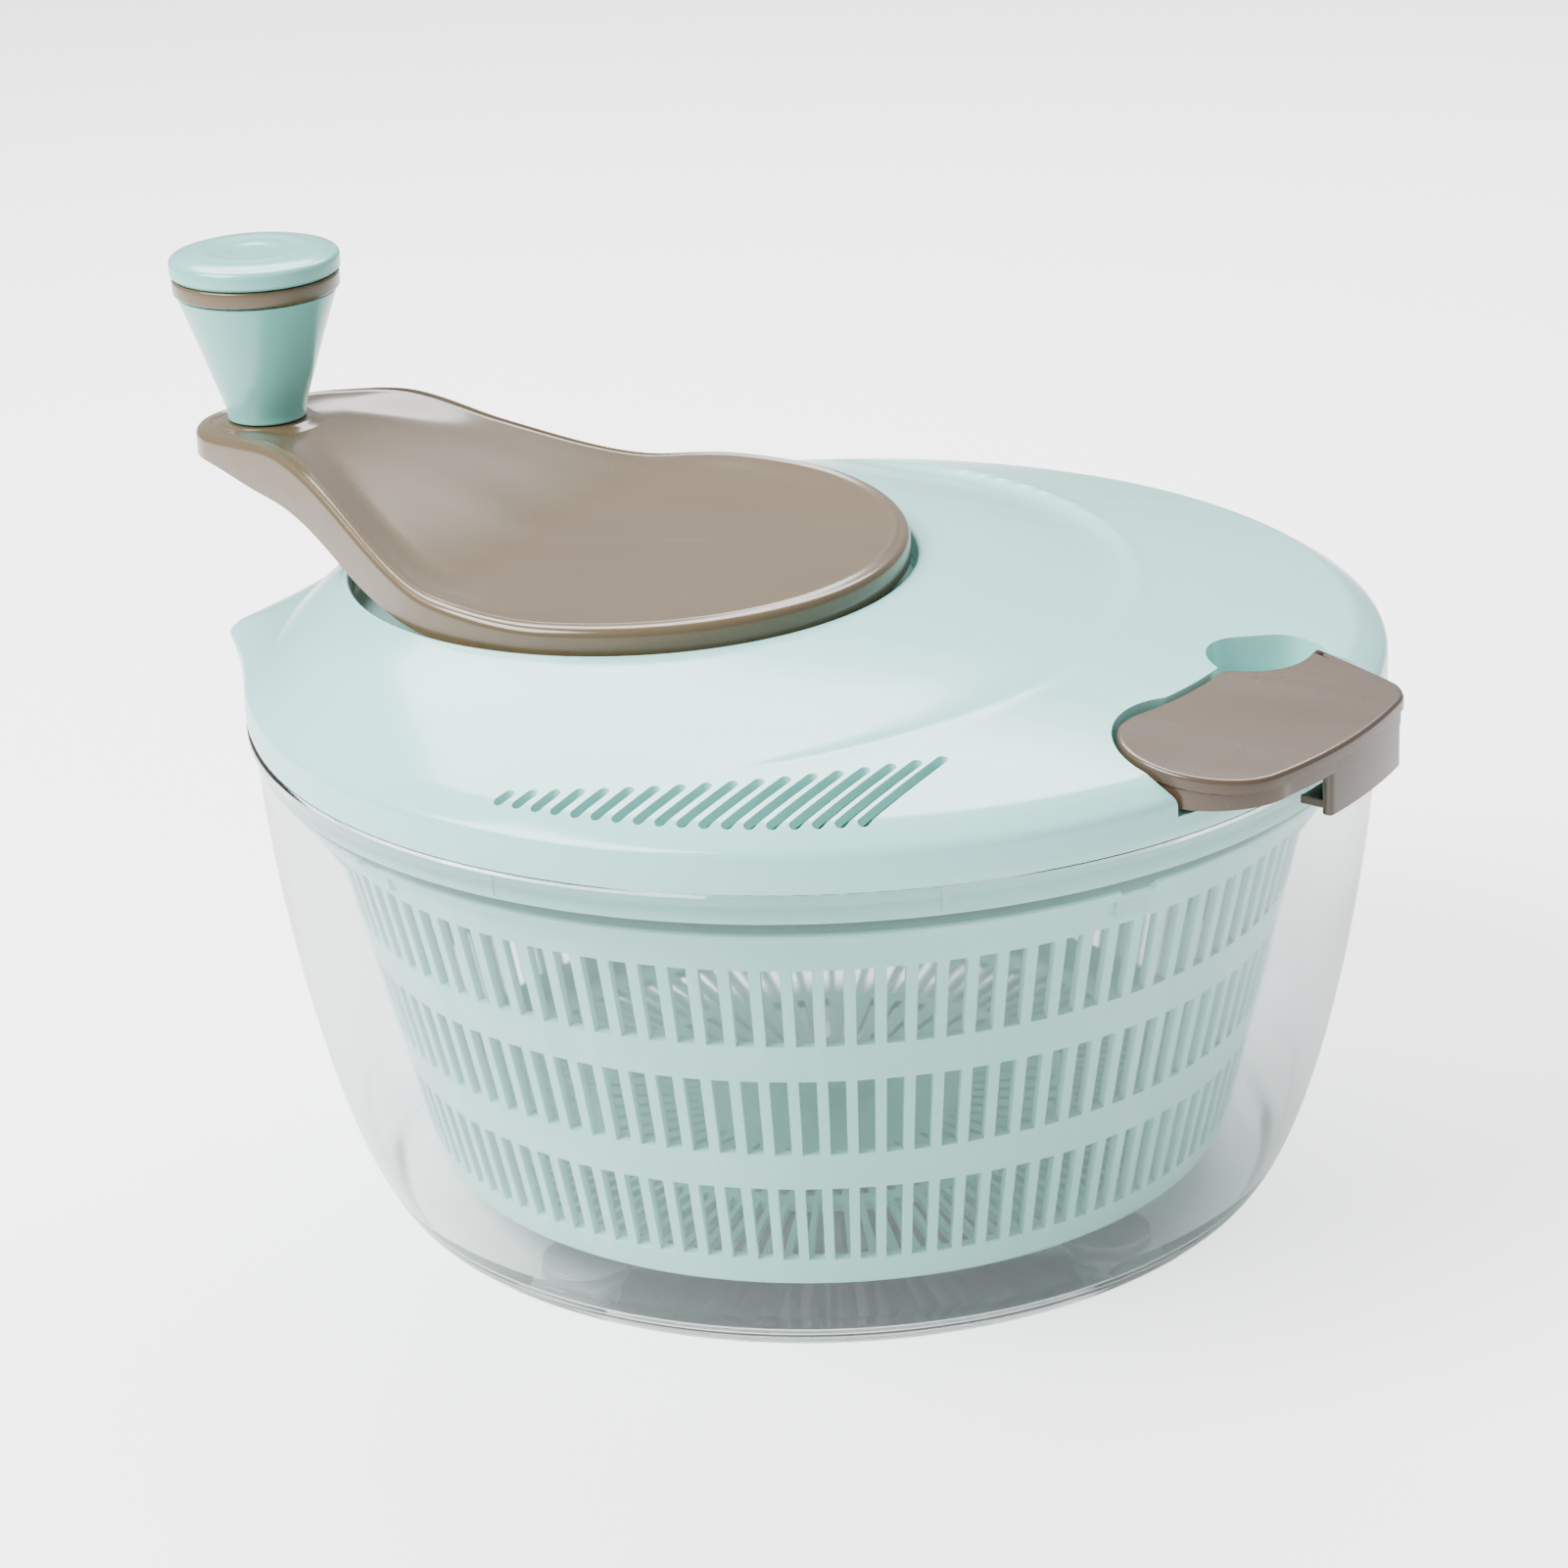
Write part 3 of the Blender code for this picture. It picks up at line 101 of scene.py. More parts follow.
# Lid
LID_R = BOWL_RIM_R
LID_FOOT = BOWL_TOP + 0.3 * MM
LID_TOP = BOWL_TOP + 26.3 * MM
SKIRT_H = 7.3 * MM
EDGE_IN = 7.0 * MM
EDGE_UP = 5.3 * MM
LID_WALL = 2.2 * MM
RECESS_R = 63.0 * MM
RECESS_DEPTH = 7.0 * MM
RECESS_LIP = 0.9 * MM
BEAK_REACH = 9.5 * MM
BEAK_HALF = radians(17)
CREASE_R = 111.0 * MM
CREASE_DIP = 0.7 * MM
CREASE_RIDGE = 0.3 * MM
CREASE_WIDTH = 7.0 * MM
CREASE_FROM, CREASE_TO = radians(-78), radians(82)
VENTS = 18
VENT_W = 2.4 * MM
VENT_OUT_R = LID_R - 5.6 * MM
VENT_FIRST = radians(-111.7)
VENT_SPAN = radians(36.3)
VENT_SHORT = 4.2 * MM
VENT_GROWS = 16.5 * MM
VENT_SKEW = radians(0.95)
VENT_FAN = radians(10.25)
VENT_GROWTH_POWER = 1.36
VENT_FAN_POWER = 1.67
POCKET_FLOOR = BOWL_TOP + 4.9 * MM
POCKET_GAP = 1.0 * MM
POCKET_WALL = 2.0 * MM
WELL_R = 12.0 * MM
WELL_AT_R = LID_R - 22.0 * MM
WELL_ANGLE = radians(-13.5)
COVE_R = 8.5 * MM
COVE_AT_R = LID_R - 18.5 * MM
COVE_ANGLE = radians(-8.8)
DRIVE_LUGS = 4
DRIVE_LUG_W = 8.0 * MM
DRIVE_LUG_DEPTH = 4.0 * MM
DRIVE_LUG_CLEAR = 0.6 * MM

# Crank
CRANK_DISC_R = 61.5 * MM
CRANK_REACH = 92.0 * MM
CRANK_END_R = 16.5 * MM
CRANK_WAIST = 1.0 * MM
CRANK_ANGLE = radians(166)
CRANK_THICK = 6.0 * MM
CRANK_FOOT = LID_TOP - 1.0 * MM
CRANK_TOP = CRANK_FOOT + CRANK_THICK
CRANK_RISE = 18.5 * MM
CRANK_RISE_FROM = 18.0 * MM
CRANK_RISE_RUN = 60.0 * MM
CRANK_SKIRT = 3.0 * MM
CRANK_EDGE = 1.9 * MM
CRANK_RIM_UP = 2.6 * MM

# Latch
LATCH_LOBE_R = 19.5 * MM
LATCH_IN_R = LID_R - 27.0 * MM
LATCH_OUT_R = LID_R + 10.0 * MM
LATCH_PIVOT_ANGLE = atan2(LATCH_AT[1], LATCH_AT[0])
LATCH_CUSP = radians(-19.3)
LATCH_TIP = radians(-7.5)
LATCH_TIP_R = LID_R - 13.5 * MM
LATCH_END = radians(-12.5)
LATCH_THICK = 3.2 * MM
LATCH_TILT = radians(6.8)
LATCH_RIM_Z = LID_FOOT + SKIRT_H + EDGE_UP * 0.75 + 1.2 * MM
LATCH_EDGE = 0.9 * MM

FINE = 288
KNOB_FINE = 128


# Shapes


def add_object(name, mesh, material):
    obj = bpy.data.objects.new(name, mesh)
    bpy.context.scene.collection.objects.link(obj)
    if material is not None:
        mesh.materials.clear()
        mesh.materials.append(material)
    return obj


def finish_mesh(name, shape, material, sharp=radians(32)):
    bmesh.ops.recalc_face_normals(shape, faces=shape.faces)
    mesh = bpy.data.meshes.new(name)
    shape.to_mesh(mesh)
    shape.free()
    mesh.shade_smooth()
    mesh.set_sharp_from_angle(angle=sharp)
    return add_object(name, mesh, material)


def softened(points, radius, steps=4):
    """A closed outline with its corners rounded off."""
    made = []
    count = len(points)
    for i, corner in enumerate(points):
        here = Vector(corner)
        before, after = Vector(points[i - 1]), Vector(points[(i + 1) % count])
        reach = min(radius, (before - here).length * 0.45, (after - here).length * 0.45)
        if here.x < 1e-9 or reach < 1e-6:
            made.append(tuple(here))
            continue
        start = here + (before - here).normalized() * reach
        stop = here + (after - here).normalized() * reach
        for k in range(steps + 1):
            t = k / steps
            made.append(tuple(start.lerp(here, t).lerp(here.lerp(stop, t), t)))
    return made


def revolve(shape, profile, sides, at=(0, 0)):
    """Turns a closed outline of (radius, height) about a vertical axis, into an open bmesh."""
    rings = []
    for r, z in profile:
        if r < 1e-7:
            rings.append([shape.verts.new((at[0], at[1], z))])
        else:
            turns = [2 * pi * k / sides for k in range(sides)]
            rings.append([shape.verts.new((at[0] + r * cos(a), at[1] + r * sin(a), z)) for a in turns])
    for i, ring in enumerate(rings):
        other = rings[(i + 1) % len(rings)]
        if len(ring) == 1 and len(other) == 1:
            continue
        for k in range(sides):
            m = (k + 1) % sides
            if len(ring) == 1:
                shape.faces.new((ring[0], other[k], other[m]))
            elif len(other) == 1:
                shape.faces.new((ring[k], other[0], ring[m]))
            else:
                shape.faces.new((ring[k], other[k], other[m], ring[m]))


def turned_piece(name, profile, material, sides, at=(0, 0)):
    shape = bmesh.new()
    revolve(shape, profile, sides, at)
    return finish_mesh(name, shape, material)


def polar(radius, angle):
    return (radius * cos(angle), radius * sin(angle))


def arc(radius, start, stop, steps, centre=(0, 0)):
    turns = [start + (stop - start) * k / steps for k in range(steps + 1)]
    return [(centre[0] + radius * cos(a), centre[1] + radius * sin(a)) for a in turns]


def smooth(share):
    share = min(1.0, max(0.0, share))
    return share * share * (3 - 2 * share)


def inset(outline, distance):
    """The outline moved inwards by a small distance; it runs counter-clockwise."""
    count = len(outline)
    moved = []
    for i in range(count):
        x0, y0 = outline[i - 1]
        x1, y1 = outline[(i + 1) % count]
        run = hypot(x1 - x0, y1 - y0) or 1.0
        x, y = outline[i]
        moved.append((x - (y1 - y0) / run * distance, y + (x1 - x0) / run * distance))
    return moved


def counter_clockwise(outline):
    area = sum(
        outline[i - 1][0] * outline[i][1] - outline[i][0] * outline[i - 1][1] for i in range(len(outline))
    )
    return outline if area > 0 else list(reversed(outline))


def pad(shape, outline, low, high, edge, support=(1.35,), steps=5):
    """A slab between two height functions: its top edge is rounded over, its foot edge is eased."""
    outline = counter_clockwise(outline)
    levels = [(edge * 0.4, low, 0.0), (0.0, low, edge * 0.4)]
    for k in range(steps + 1):
        turn = k / steps * pi / 2
        levels.append((edge * (1 - cos(turn)), high, -edge * (1 - sin(turn))))
    levels += [(edge * share, high, 0.0) for share in support]
    rings = []
    for distance, height, lift in levels:
        ring = inset(outline, distance)
        rings.append([shape.verts.new((x, y, height(x, y) + lift)) for x, y in ring])
    for lower, upper in zip(rings, rings[1:]):
        for i in range(len(lower)):
            j = (i + 1) % len(lower)
            shape.faces.new((lower[i], lower[j], upper[j], upper[i]))
    shape.faces.new(list(reversed(rings[0])))
    shape.faces.new(rings[-1])


def combine(obj, other, operation):
    boolean = obj.modifiers.new(operation, "BOOLEAN")
    boolean.operation = operation
    boolean.solver = "EXACT"
    boolean.object = other
    bpy.context.view_layer.update()
    apply_modifiers(obj)
    bpy.data.objects.remove(other, do_unlink=True)


def apply_modifiers(obj):
    graph = bpy.context.evaluated_depsgraph_get()
    mesh = bpy.data.meshes.new_from_object(obj.evaluated_get(graph))
    obj.modifiers.clear()
    obj.data = mesh


def ease_edges(obj, width, angle):
    bevel = obj.modifiers.new("ease", "BEVEL")
    bevel.width = width
    bevel.segments = 2
    bevel.limit_method = "ANGLE"
    bevel.angle_limit = angle
    bevel.harden_normals = False
    bpy.context.view_layer.update()
    apply_modifiers(obj)


# Shader groups, each used by several materials


def new_group(name, inputs, outputs):
    group = bpy.data.node_groups.new(name, "ShaderNodeTree")
    for label, kind, value in inputs:
        socket = group.interface.new_socket(label, in_out="INPUT", socket_type=kind)
        socket.default_value = value
    for label, kind in outputs:
        group.interface.new_socket(label, in_out="OUTPUT", socket_type=kind)
    start = group.nodes.new("NodeGroupInput")
    end = group.nodes.new("NodeGroupOutput")
    return group, start, end


def noise(tree, coordinates, scale, detail, roughness=0.5):
    node = tree.nodes.new("ShaderNodeTexNoise")
    node.inputs["Detail"].default_value = detail
    node.inputs["Roughness"].default_value = roughness
    tree.links.new(coordinates, node.inputs["Vector"])
    if isinstance(scale, bpy.types.NodeSocket):
        tree.links.new(scale, node.inputs["Scale"])
    else:
        node.inputs["Scale"].default_value = scale
    return node.outputs["Fac"]


def remap(tree, value, low, high, to_low, to_high):
    """Value from the range low..high into to_low..to_high, where each end is a number or a socket."""
    node = tree.nodes.new("ShaderNodeMapRange")
    tree.links.new(value, node.inputs["Value"])
    ends = (("From Min", low), ("From Max", high), ("To Min", to_low), ("To Max", to_high))
    for label, end in ends:
        if isinstance(end, bpy.types.NodeSocket):
            tree.links.new(end, node.inputs[label])
        else:
            node.inputs[label].default_value = end
    return node.outputs["Result"]


def mixed(tree, factor, first, second):
    node = tree.nodes.new("ShaderNodeMix")
    node.data_type = "RGBA"
    tree.links.new(factor, node.inputs[0])
    for socket, value in ((node.inputs[6], first), (node.inputs[7], second)):
        if isinstance(value, bpy.types.NodeSocket):
            tree.links.new(value, socket)
        else:
            socket.default_value = value
    return node.outputs[2]


def multiplied(tree, first, second):
    node = tree.nodes.new("ShaderNodeMath")
    node.operation = "MULTIPLY"
    for socket, value in zip(node.inputs, (first, second)):
        if isinstance(value, bpy.types.NodeSocket):
            tree.links.new(value, socket)
        else:
            socket.default_value = value
    return node.outputs[0]


def make_pigment_group():
    """Cloudy colour of a moulded plastic, with fine flecks of pigment."""
    colour = "NodeSocketColor"
    number = "NodeSocketFloat"
    inputs = [
        ("Colour", colour, (0.5, 0.5, 0.5, 1)),
        ("Shade", colour, (0.4, 0.4, 0.4, 1)),
        ("Cloud Scale", number, 14.0),
        ("Fleck Scale", number, 900.0),
        ("Fleck Amount", number, 0.12),
    ]
    group, start, end = new_group("moulded_pigment", inputs, [("Colour", colour)])
    at = group.nodes.new("ShaderNodeTexCoord").outputs["Object"]
    cloud = remap(group, noise(group, at, start.outputs["Cloud Scale"], 3), 0.3, 0.75, 0.0, 1.0)
    clouded = mixed(group, cloud, start.outputs["Colour"], start.outputs["Shade"])
    fleck = remap(group, noise(group, at, start.outputs["Fleck Scale"], 1), 0.55, 0.75, 0.0, 1.0)
    amount = multiplied(group, fleck, start.outputs["Fleck Amount"])
    group.links.new(mixed(group, amount, clouded, start.outputs["Shade"]), end.inputs["Colour"])
    return group


def make_edge_wear_group():
    """Lighter rubbed colour where the surface is sharply convex, broken up by noise."""
    colour = "NodeSocketColor"
    inputs = [
        ("Colour", colour, (0.5, 0.5, 0.5, 1)),
        ("Rubbed", colour, (0.7, 0.7, 0.7, 1)),
        ("Amount", "NodeSocketFloat", 0.4),
    ]
    group, start, end = new_group("edge_wear", inputs, [("Colour", colour)])
    at = group.nodes.new("ShaderNodeTexCoord").outputs["Object"]
    convex = group.nodes.new("ShaderNodeNewGeometry").outputs["Pointiness"]
    edge = remap(group, convex, 0.51, 0.60, 0.0, 1.0)
    patch = remap(group, noise(group, at, 160.0, 4), 0.35, 0.65, 0.2, 1.0)
    mask = multiplied(group, multiplied(group, edge, patch), start.outputs["Amount"])
    rubbed = mixed(group, mask, start.outputs["Colour"], start.outputs["Rubbed"])
    group.links.new(rubbed, end.inputs["Colour"])
    return group


def make_sheen_marks_group():
    """Gloss broken by faint wipe marks and by a finer grain."""
    number = "NodeSocketFloat"
    inputs = [("Gloss", number, 0.15), ("Dull", number, 0.32), ("Mark Scale", number, 22.0)]
    group, start, end = new_group("wipe_marks", inputs, [("Roughness", number)])
    at = group.nodes.new("ShaderNodeTexCoord").outputs["Object"]
    stretch = group.nodes.new("ShaderNodeMapping")
    stretch.inputs["Scale"].default_value = (1.0, 4.5, 1.0)
    stretch.inputs["Rotation"].default_value = (0.0, 0.0, radians(24))
    group.links.new(at, stretch.inputs["Vector"])
    broad = noise(group, stretch.outputs["Vector"], start.outputs["Mark Scale"], 6, 0.62)
    gloss, dull = start.outputs["Gloss"], start.outputs["Dull"]
    group.links.new(remap(group, broad, 0.32, 0.72, gloss, dull), end.inputs["Roughness"])
    return group


def make_mould_grain_group():
    """Height of the mould's grain: a slow orange-peel wave under a fine tooth."""
    number = "NodeSocketFloat"
    inputs = [("Peel Scale", number, 120.0), ("Tooth Scale", number, 1400.0), ("Tooth", number, 0.4)]
    group, start, end = new_group("mould_grain", inputs, [("Height", number)])
    at = group.nodes.new("ShaderNodeTexCoord").outputs["Object"]
    peel = noise(group, at, start.outputs["Peel Scale"], 2)
    tooth = multiplied(group, noise(group, at, start.outputs["Tooth Scale"], 2), start.outputs["Tooth"])
    added = group.nodes.new("ShaderNodeMath")
    added.operation = "ADD"
    group.links.new(peel, added.inputs[0])
    group.links.new(tooth, added.inputs[1])
    group.links.new(added.outputs[0], end.inputs["Height"])
    return group


PIGMENT = make_pigment_group()
EDGE_WEAR = make_edge_wear_group()
WIPE_MARKS = make_sheen_marks_group()
MOULD_GRAIN = make_mould_grain_group()


# Materials


def linear(red, green, blue):
    """An ordinary 0-255 screen colour as the linear colour that a shader takes."""
    shares = [channel / 255 for channel in (red, green, blue)]
    return tuple(s / 12.92 if s <= 0.04045 else ((s + 0.055) / 1.055) ** 2.4 for s in shares) + (1.0,)


def use_group(material, group, **values):
    node = material.node_tree.nodes.new("ShaderNodeGroup")
    node.node_tree = group
    for label, value in values.items():
        node.inputs[label.replace("_", " ")].default_value = value
    return node


def new_material(name):
    material = bpy.data.materials.new(name)
    material.use_nodes = True
    return material, material.node_tree.nodes["Principled BSDF"]


def add_grain(material, shader, height, distance, **values):
    grain = use_group(material, MOULD_GRAIN, **values)
    bump = material.node_tree.nodes.new("ShaderNodeBump")
    bump.inputs["Strength"].default_value = height
    bump.inputs["Distance"].default_value = distance
    material.node_tree.links.new(grain.outputs["Height"], bump.inputs["Height"])
    material.node_tree.links.new(bump.outputs["Normal"], shader.inputs["Normal"])


def make_plastic(name, colour, shade, rubbed, gloss, dull, coat, grain, wear=0.35):
    """Opaque moulded plastic: cloudy pigment, rubbed edges, wipe marks and mould grain."""
    material, shader = new_material(name)
    links = material.node_tree.links
    pigment = use_group(material, PIGMENT, Colour=colour, Shade=shade)
    worn = use_group(material, EDGE_WEAR, Rubbed=rubbed, Amount=wear)
    marks = use_group(material, WIPE_MARKS, Gloss=gloss, Dull=dull)
    links.new(pigment.outputs["Colour"], worn.inputs["Colour"])
    links.new(worn.outputs["Colour"], shader.inputs["Base Color"])
    links.new(marks.outputs["Roughness"], shader.inputs["Roughness"])
    shader.inputs["IOR"].default_value = 1.49
    shader.inputs["Coat Weight"].default_value = coat
    shader.inputs["Coat Roughness"].default_value = 0.12
    add_grain(material, shader, grain, 0.0002)
    return material


def make_clear_plastic(name):
    """Clear styrene with a faint cool cast: light falls through it, and its edges stay dark."""
    material, shader = new_material(name)
    tree = material.node_tree
    marks = use_group(material, WIPE_MARKS, Gloss=0.015, Dull=0.07)
    pigment = use_group(material, PIGMENT, Colour=linear(250, 252, 252), Shade=linear(240, 245, 246))
    tree.links.new(pigment.outputs["Colour"], shader.inputs["Base Color"])
    tree.links.new(marks.outputs["Roughness"], shader.inputs["Roughness"])
    shader.inputs["Transmission Weight"].default_value = 1.0
    shader.inputs["IOR"].default_value = 1.46
    add_grain(material, shader, 0.02, 0.0001, Peel_Scale=40.0)
    clear = tree.nodes.new("ShaderNodeBsdfTransparent")
    path = tree.nodes.new("ShaderNodeLightPath")
    either = tree.nodes.new("ShaderNodeMath")
    either.operation = "MAXIMUM"
    tree.links.new(path.outputs["Is Shadow Ray"], either.inputs[0])
    tree.links.new(path.outputs["Is Diffuse Ray"], either.inputs[1])
    blend = tree.nodes.new("ShaderNodeMixShader")
    output = tree.nodes["Material Output"]
    tree.links.new(either.outputs[0], blend.inputs["Fac"])
    tree.links.new(shader.outputs["BSDF"], blend.inputs[1])
    tree.links.new(clear.outputs["BSDF"], blend.inputs[2])
    tree.links.new(blend.outputs["Shader"], output.inputs["Surface"])
    return material


def make_steel(name):
    material, shader = new_material(name)
    links = material.node_tree.links
    pigment = use_group(material, PIGMENT, Colour=linear(196, 196, 200), Shade=linear(150, 150, 155))
    marks = use_group(material, WIPE_MARKS, Gloss=0.18, Dull=0.42, Mark_Scale=240.0)
    links.new(pigment.outputs["Colour"], shader.inputs["Base Color"])
    links.new(marks.outputs["Roughness"], shader.inputs["Roughness"])
    shader.inputs["Metallic"].default_value = 1.0
    add_grain(material, shader, 0.15, 0.0001)
    return material


def make_rubber(name):
    material, shader = new_material(name)
    links = material.node_tree.links
    colour, shade = linear(128, 134, 134), linear(92, 98, 99)
    pigment = use_group(material, PIGMENT, Colour=colour, Shade=shade, Fleck_Amount=0.4)
    worn = use_group(material, EDGE_WEAR, Rubbed=linear(170, 174, 172), Amount=0.5)
    links.new(pigment.outputs["Colour"], worn.inputs["Colour"])
    links.new(worn.outputs["Colour"], shader.inputs["Base Color"])
    marks = use_group(material, WIPE_MARKS, Gloss=0.6, Dull=0.85)
    links.new(marks.outputs["Roughness"], shader.inputs["Roughness"])
    add_grain(material, shader, 0.4, 0.0003, Peel_Scale=600.0)
    return material


LID_AQUA = make_plastic(
    "lid_aqua", linear(158, 225, 218), linear(152, 219, 211), linear(200, 235, 231),
    gloss=0.16, dull=0.28, coat=0.35, grain=0.03,
)
BASKET_AQUA = make_plastic(
    "basket_aqua", linear(150, 216, 206), linear(138, 206, 195), linear(192, 231, 225),
    gloss=0.28, dull=0.46, coat=0.1, grain=0.08,
)
# The knob's aqua is the lid's aqua darkened: painted shade standing in for the shade that falls on the knob's
# sides
KNOB_AQUA_WITH_PAINTED_SHADE = make_plastic(
    "knob_aqua_with_painted_shade", linear(118, 190, 182), linear(110, 182, 173), linear(170, 217, 211),
    gloss=0.16, dull=0.28, coat=0.4, grain=0.03,
)
CRANK_TAUPE = make_plastic(
    "crank_taupe", linear(92, 77, 54), linear(87, 72, 50), linear(122, 106, 82),
    gloss=0.2, dull=0.25, coat=0.4, grain=0.02,
)
LATCH_TAUPE = make_plastic(
    "latch_taupe", linear(80, 64, 48), linear(75, 59, 44), linear(96, 80, 63),
    gloss=0.24, dull=0.29, coat=0.3, grain=0.03, wear=0.12,
)
GEAR_WHITE = make_plastic(
    "gear_white", linear(232, 231, 226), linear(218, 217, 210), linear(245, 245, 242),
    gloss=0.35, dull=0.55, coat=0.0, grain=0.2,
)
CLEAR_STYRENE = make_clear_plastic("clear_styrene")
SCREW_STEEL = make_steel("screw_steel")
FOOT_RUBBER = make_rubber("foot_rubber")


# Bowl and feet


def bowl_outer(height):
    t = (height - BOWL_UNDER) / (BOWL_TOP - BOWL_FLANGE_T - BOWL_UNDER)
    rise = (1 - (1 - min(1.0, t)) ** BOWL_BELLY) ** BOWL_CORNER
    return BOWL_BASE_R + (BOWL_RIM_R - BOWL_FLANGE_W - BOWL_BASE_R) * rise


def bowl_profile():
    """Up the inside from the post, over the flange, and down the outside to the axis."""
    neck = BOWL_TOP - BOWL_FLANGE_T
    floor = BOWL_UNDER + BOWL_FLOOR_T
    steps = 40
    shares = [(k / steps) ** 1.6 for k in range(1, steps)]
    heights = [BOWL_UNDER + (neck - BOWL_UNDER) * s for s in shares]
    corner_z = floor + 5.0 * MM
    corner_r = bowl_outer(corner_z) - BOWL_WALL
    inner = []
    for k in range(7):
        turn = k / 6 * pi / 2
        inner.append((corner_r - 6.0 * MM * (1 - sin(turn)), corner_z - (corner_z - floor) * cos(turn)))
    inner += [(bowl_outer(z) - BOWL_WALL, z) for z in heights if z > corner_z + 0.5 * MM]
    mouth = BOWL_RIM_R - BOWL_FLANGE_W - BOWL_WALL
    soft = 0.5 * MM
    rim = [(mouth, BOWL_TOP - soft), (mouth + soft, BOWL_TOP), (BOWL_RIM_R - soft, BOWL_TOP)]
    rim += [(BOWL_RIM_R, BOWL_TOP - soft), (BOWL_RIM_R, neck + soft), (BOWL_RIM_R - soft, neck)]
    outer = [(bowl_outer(z), z) for z in reversed(heights)]
    base = [(BOWL_BASE_R, BOWL_UNDER + 0.4 * MM), (BOWL_BASE_R - 1.0 * MM, BOWL_UNDER), (0, BOWL_UNDER)]
    post = [(0, POST_TOP), (POST_R * 0.6, POST_TOP), (POST_R, POST_TOP - POST_R * 0.4), (POST_ROOT_R, floor)]
    return post + inner + rim + outer + base


def make_bowl():
    bowl = turned_piece("clear_bowl", bowl_profile(), CLEAR_STYRENE, FINE)
    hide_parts("bowl")
    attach(bowl, "bowl_body")


def make_foot(number):
    """A rubber disc with a groove moulded round its middle."""
    node = f"foot_{number}"
    low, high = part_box(node)
    at = ((low.x + high.x) / 2, (low.y + high.y) / 2)
    groove = 0.7 * MM
    profile = [
        (0, high.z),
        (FOOT_R, high.z),
        (FOOT_R, low.z),
        (FOOT_GROOVE_R + groove, low.z),
        (FOOT_GROOVE_R, low.z + groove),
        (FOOT_GROOVE_R - groove, low.z),
        (0, low.z),
    ]
    foot = turned_piece(f"rubber_foot_{number}", softened(profile, 0.6 * MM), FOOT_RUBBER, 64, at)
    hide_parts(node)
    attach(foot, "bowl_body")


# Basket


def basket_outer(height):
    """The wall's outer radius at a height above the basket's underside."""
    return BASKET_BOTTOM_R + (BASKET_TOP_R - BASKET_BOTTOM_R) * height / (BASKET_HIGH.z - BASKET_LOW.z)


def basket_levels():
    """From hub to lip: (radius, height above the underside, columns per slot that opens above this level)."""
    tall = BASKET_HIGH.z - BASKET_LOW.z
    hub = POST_ROOT_R + 1.0 * MM
    cup = POST_TOP + 0.3 * MM + 2.2 * MM - BASKET_LOW.z
    slot_h = (tall - FOOT_BAND - TOP_BAND - MIDDLE_BAND * (SLOT_ROWS - 1)) / SLOT_ROWS
    levels = [(hub * 0.5, cup, 0), (hub, cup - 0.8 * MM, 0), (hub + 2.2 * MM, BASKET_WALL, 0)]
    levels += [(30 * MM, 0, 2), (52 * MM, 0, 0), (56 * MM, 0, 1), (80 * MM, 0, 0)]
    corner = 3.0 * MM
    for k in range(5):
        turn = k / 4 * pi / 2
        levels.append((BASKET_BOTTOM_R - corner + corner * sin(turn), corner * (1 - cos(turn)), 0))
    foot = FOOT_BAND
    for _ in range(SLOT_ROWS):
        levels.append((basket_outer(foot), foot, 1))
        levels.append((basket_outer(foot + slot_h), foot + slot_h, 0))
        foot += slot_h + MIDDLE_BAND
    lip = 2.4 * MM
    notch = tall - DRIVE_LUG_DEPTH - DRIVE_LUG_CLEAR
    levels.append((basket_outer(notch), notch, NOTCHED))
    levels.append((basket_outer(tall - lip - 0.8 * MM), tall - lip - 0.8 * MM, NOTCHED))
    levels.append((BASKET_HIGH.x - 0.3 * MM, tall - lip, NOTCHED))
    levels.append((BASKET_HIGH.x, tall - lip + 0.6 * MM, NOTCHED))
    levels.append((BASKET_HIGH.x, tall - 0.5 * MM, NOTCHED))
    levels.append((BASKET_HIGH.x - 0.5 * MM, tall, NOTCHED))
    return levels


def make_basket():
    """A thin wall of bars and bands, thickened inwards."""
    shape = bmesh.new()
    pitch = 2 * pi / BASKET_COLUMNS
    first = -pitch * (1 - SLOT_SHARE) / 2
    turns = []
    for column in range(BASKET_COLUMNS):
        turns += [first + column * pitch, first + column * pitch + pitch * (1 - SLOT_SHARE)]
    between_lugs = len(turns) // DRIVE_LUGS
    levels = basket_levels()
    rings = []
    for r, z, _ in levels:
        rings.append([shape.verts.new((r * cos(a), r * sin(a), BASKET_LOW.z + z)) for a in turns])
    for index, (lower, upper) in enumerate(zip(rings, rings[1:])):
        every = levels[index][2]
        for k in range(len(turns)):
            if every == NOTCHED:
                opening = abs(k % between_lugs - between_lugs // 2) <= 1
            else:
                opening = every and k % 2 == 1 and (k // 2) % every == 0
            if opening:
                continue
            m = (k + 1) % len(turns)
            shape.faces.new((lower[k], lower[m], upper[m], upper[k]))
    shape.faces.new(rings[0])
    basket = finish_mesh("slotted_basket", shape, BASKET_AQUA)
    wall = basket.modifiers.new("wall", "SOLIDIFY")
    wall.thickness = BASKET_WALL
    wall.offset = -1
    apply_modifiers(basket)
    ease_edges(basket, 0.25 * MM, radians(55))
    basket.data.shade_smooth()
    basket.data.set_sharp_from_angle(angle=radians(40))
    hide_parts("basket")
    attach(basket, "basket_body")


# Lid


def beak(angle):
    off = abs(atan2(sin(angle - pi), cos(angle - pi)))
    return max(0.0, 1 - off / BEAK_HALF) ** 2


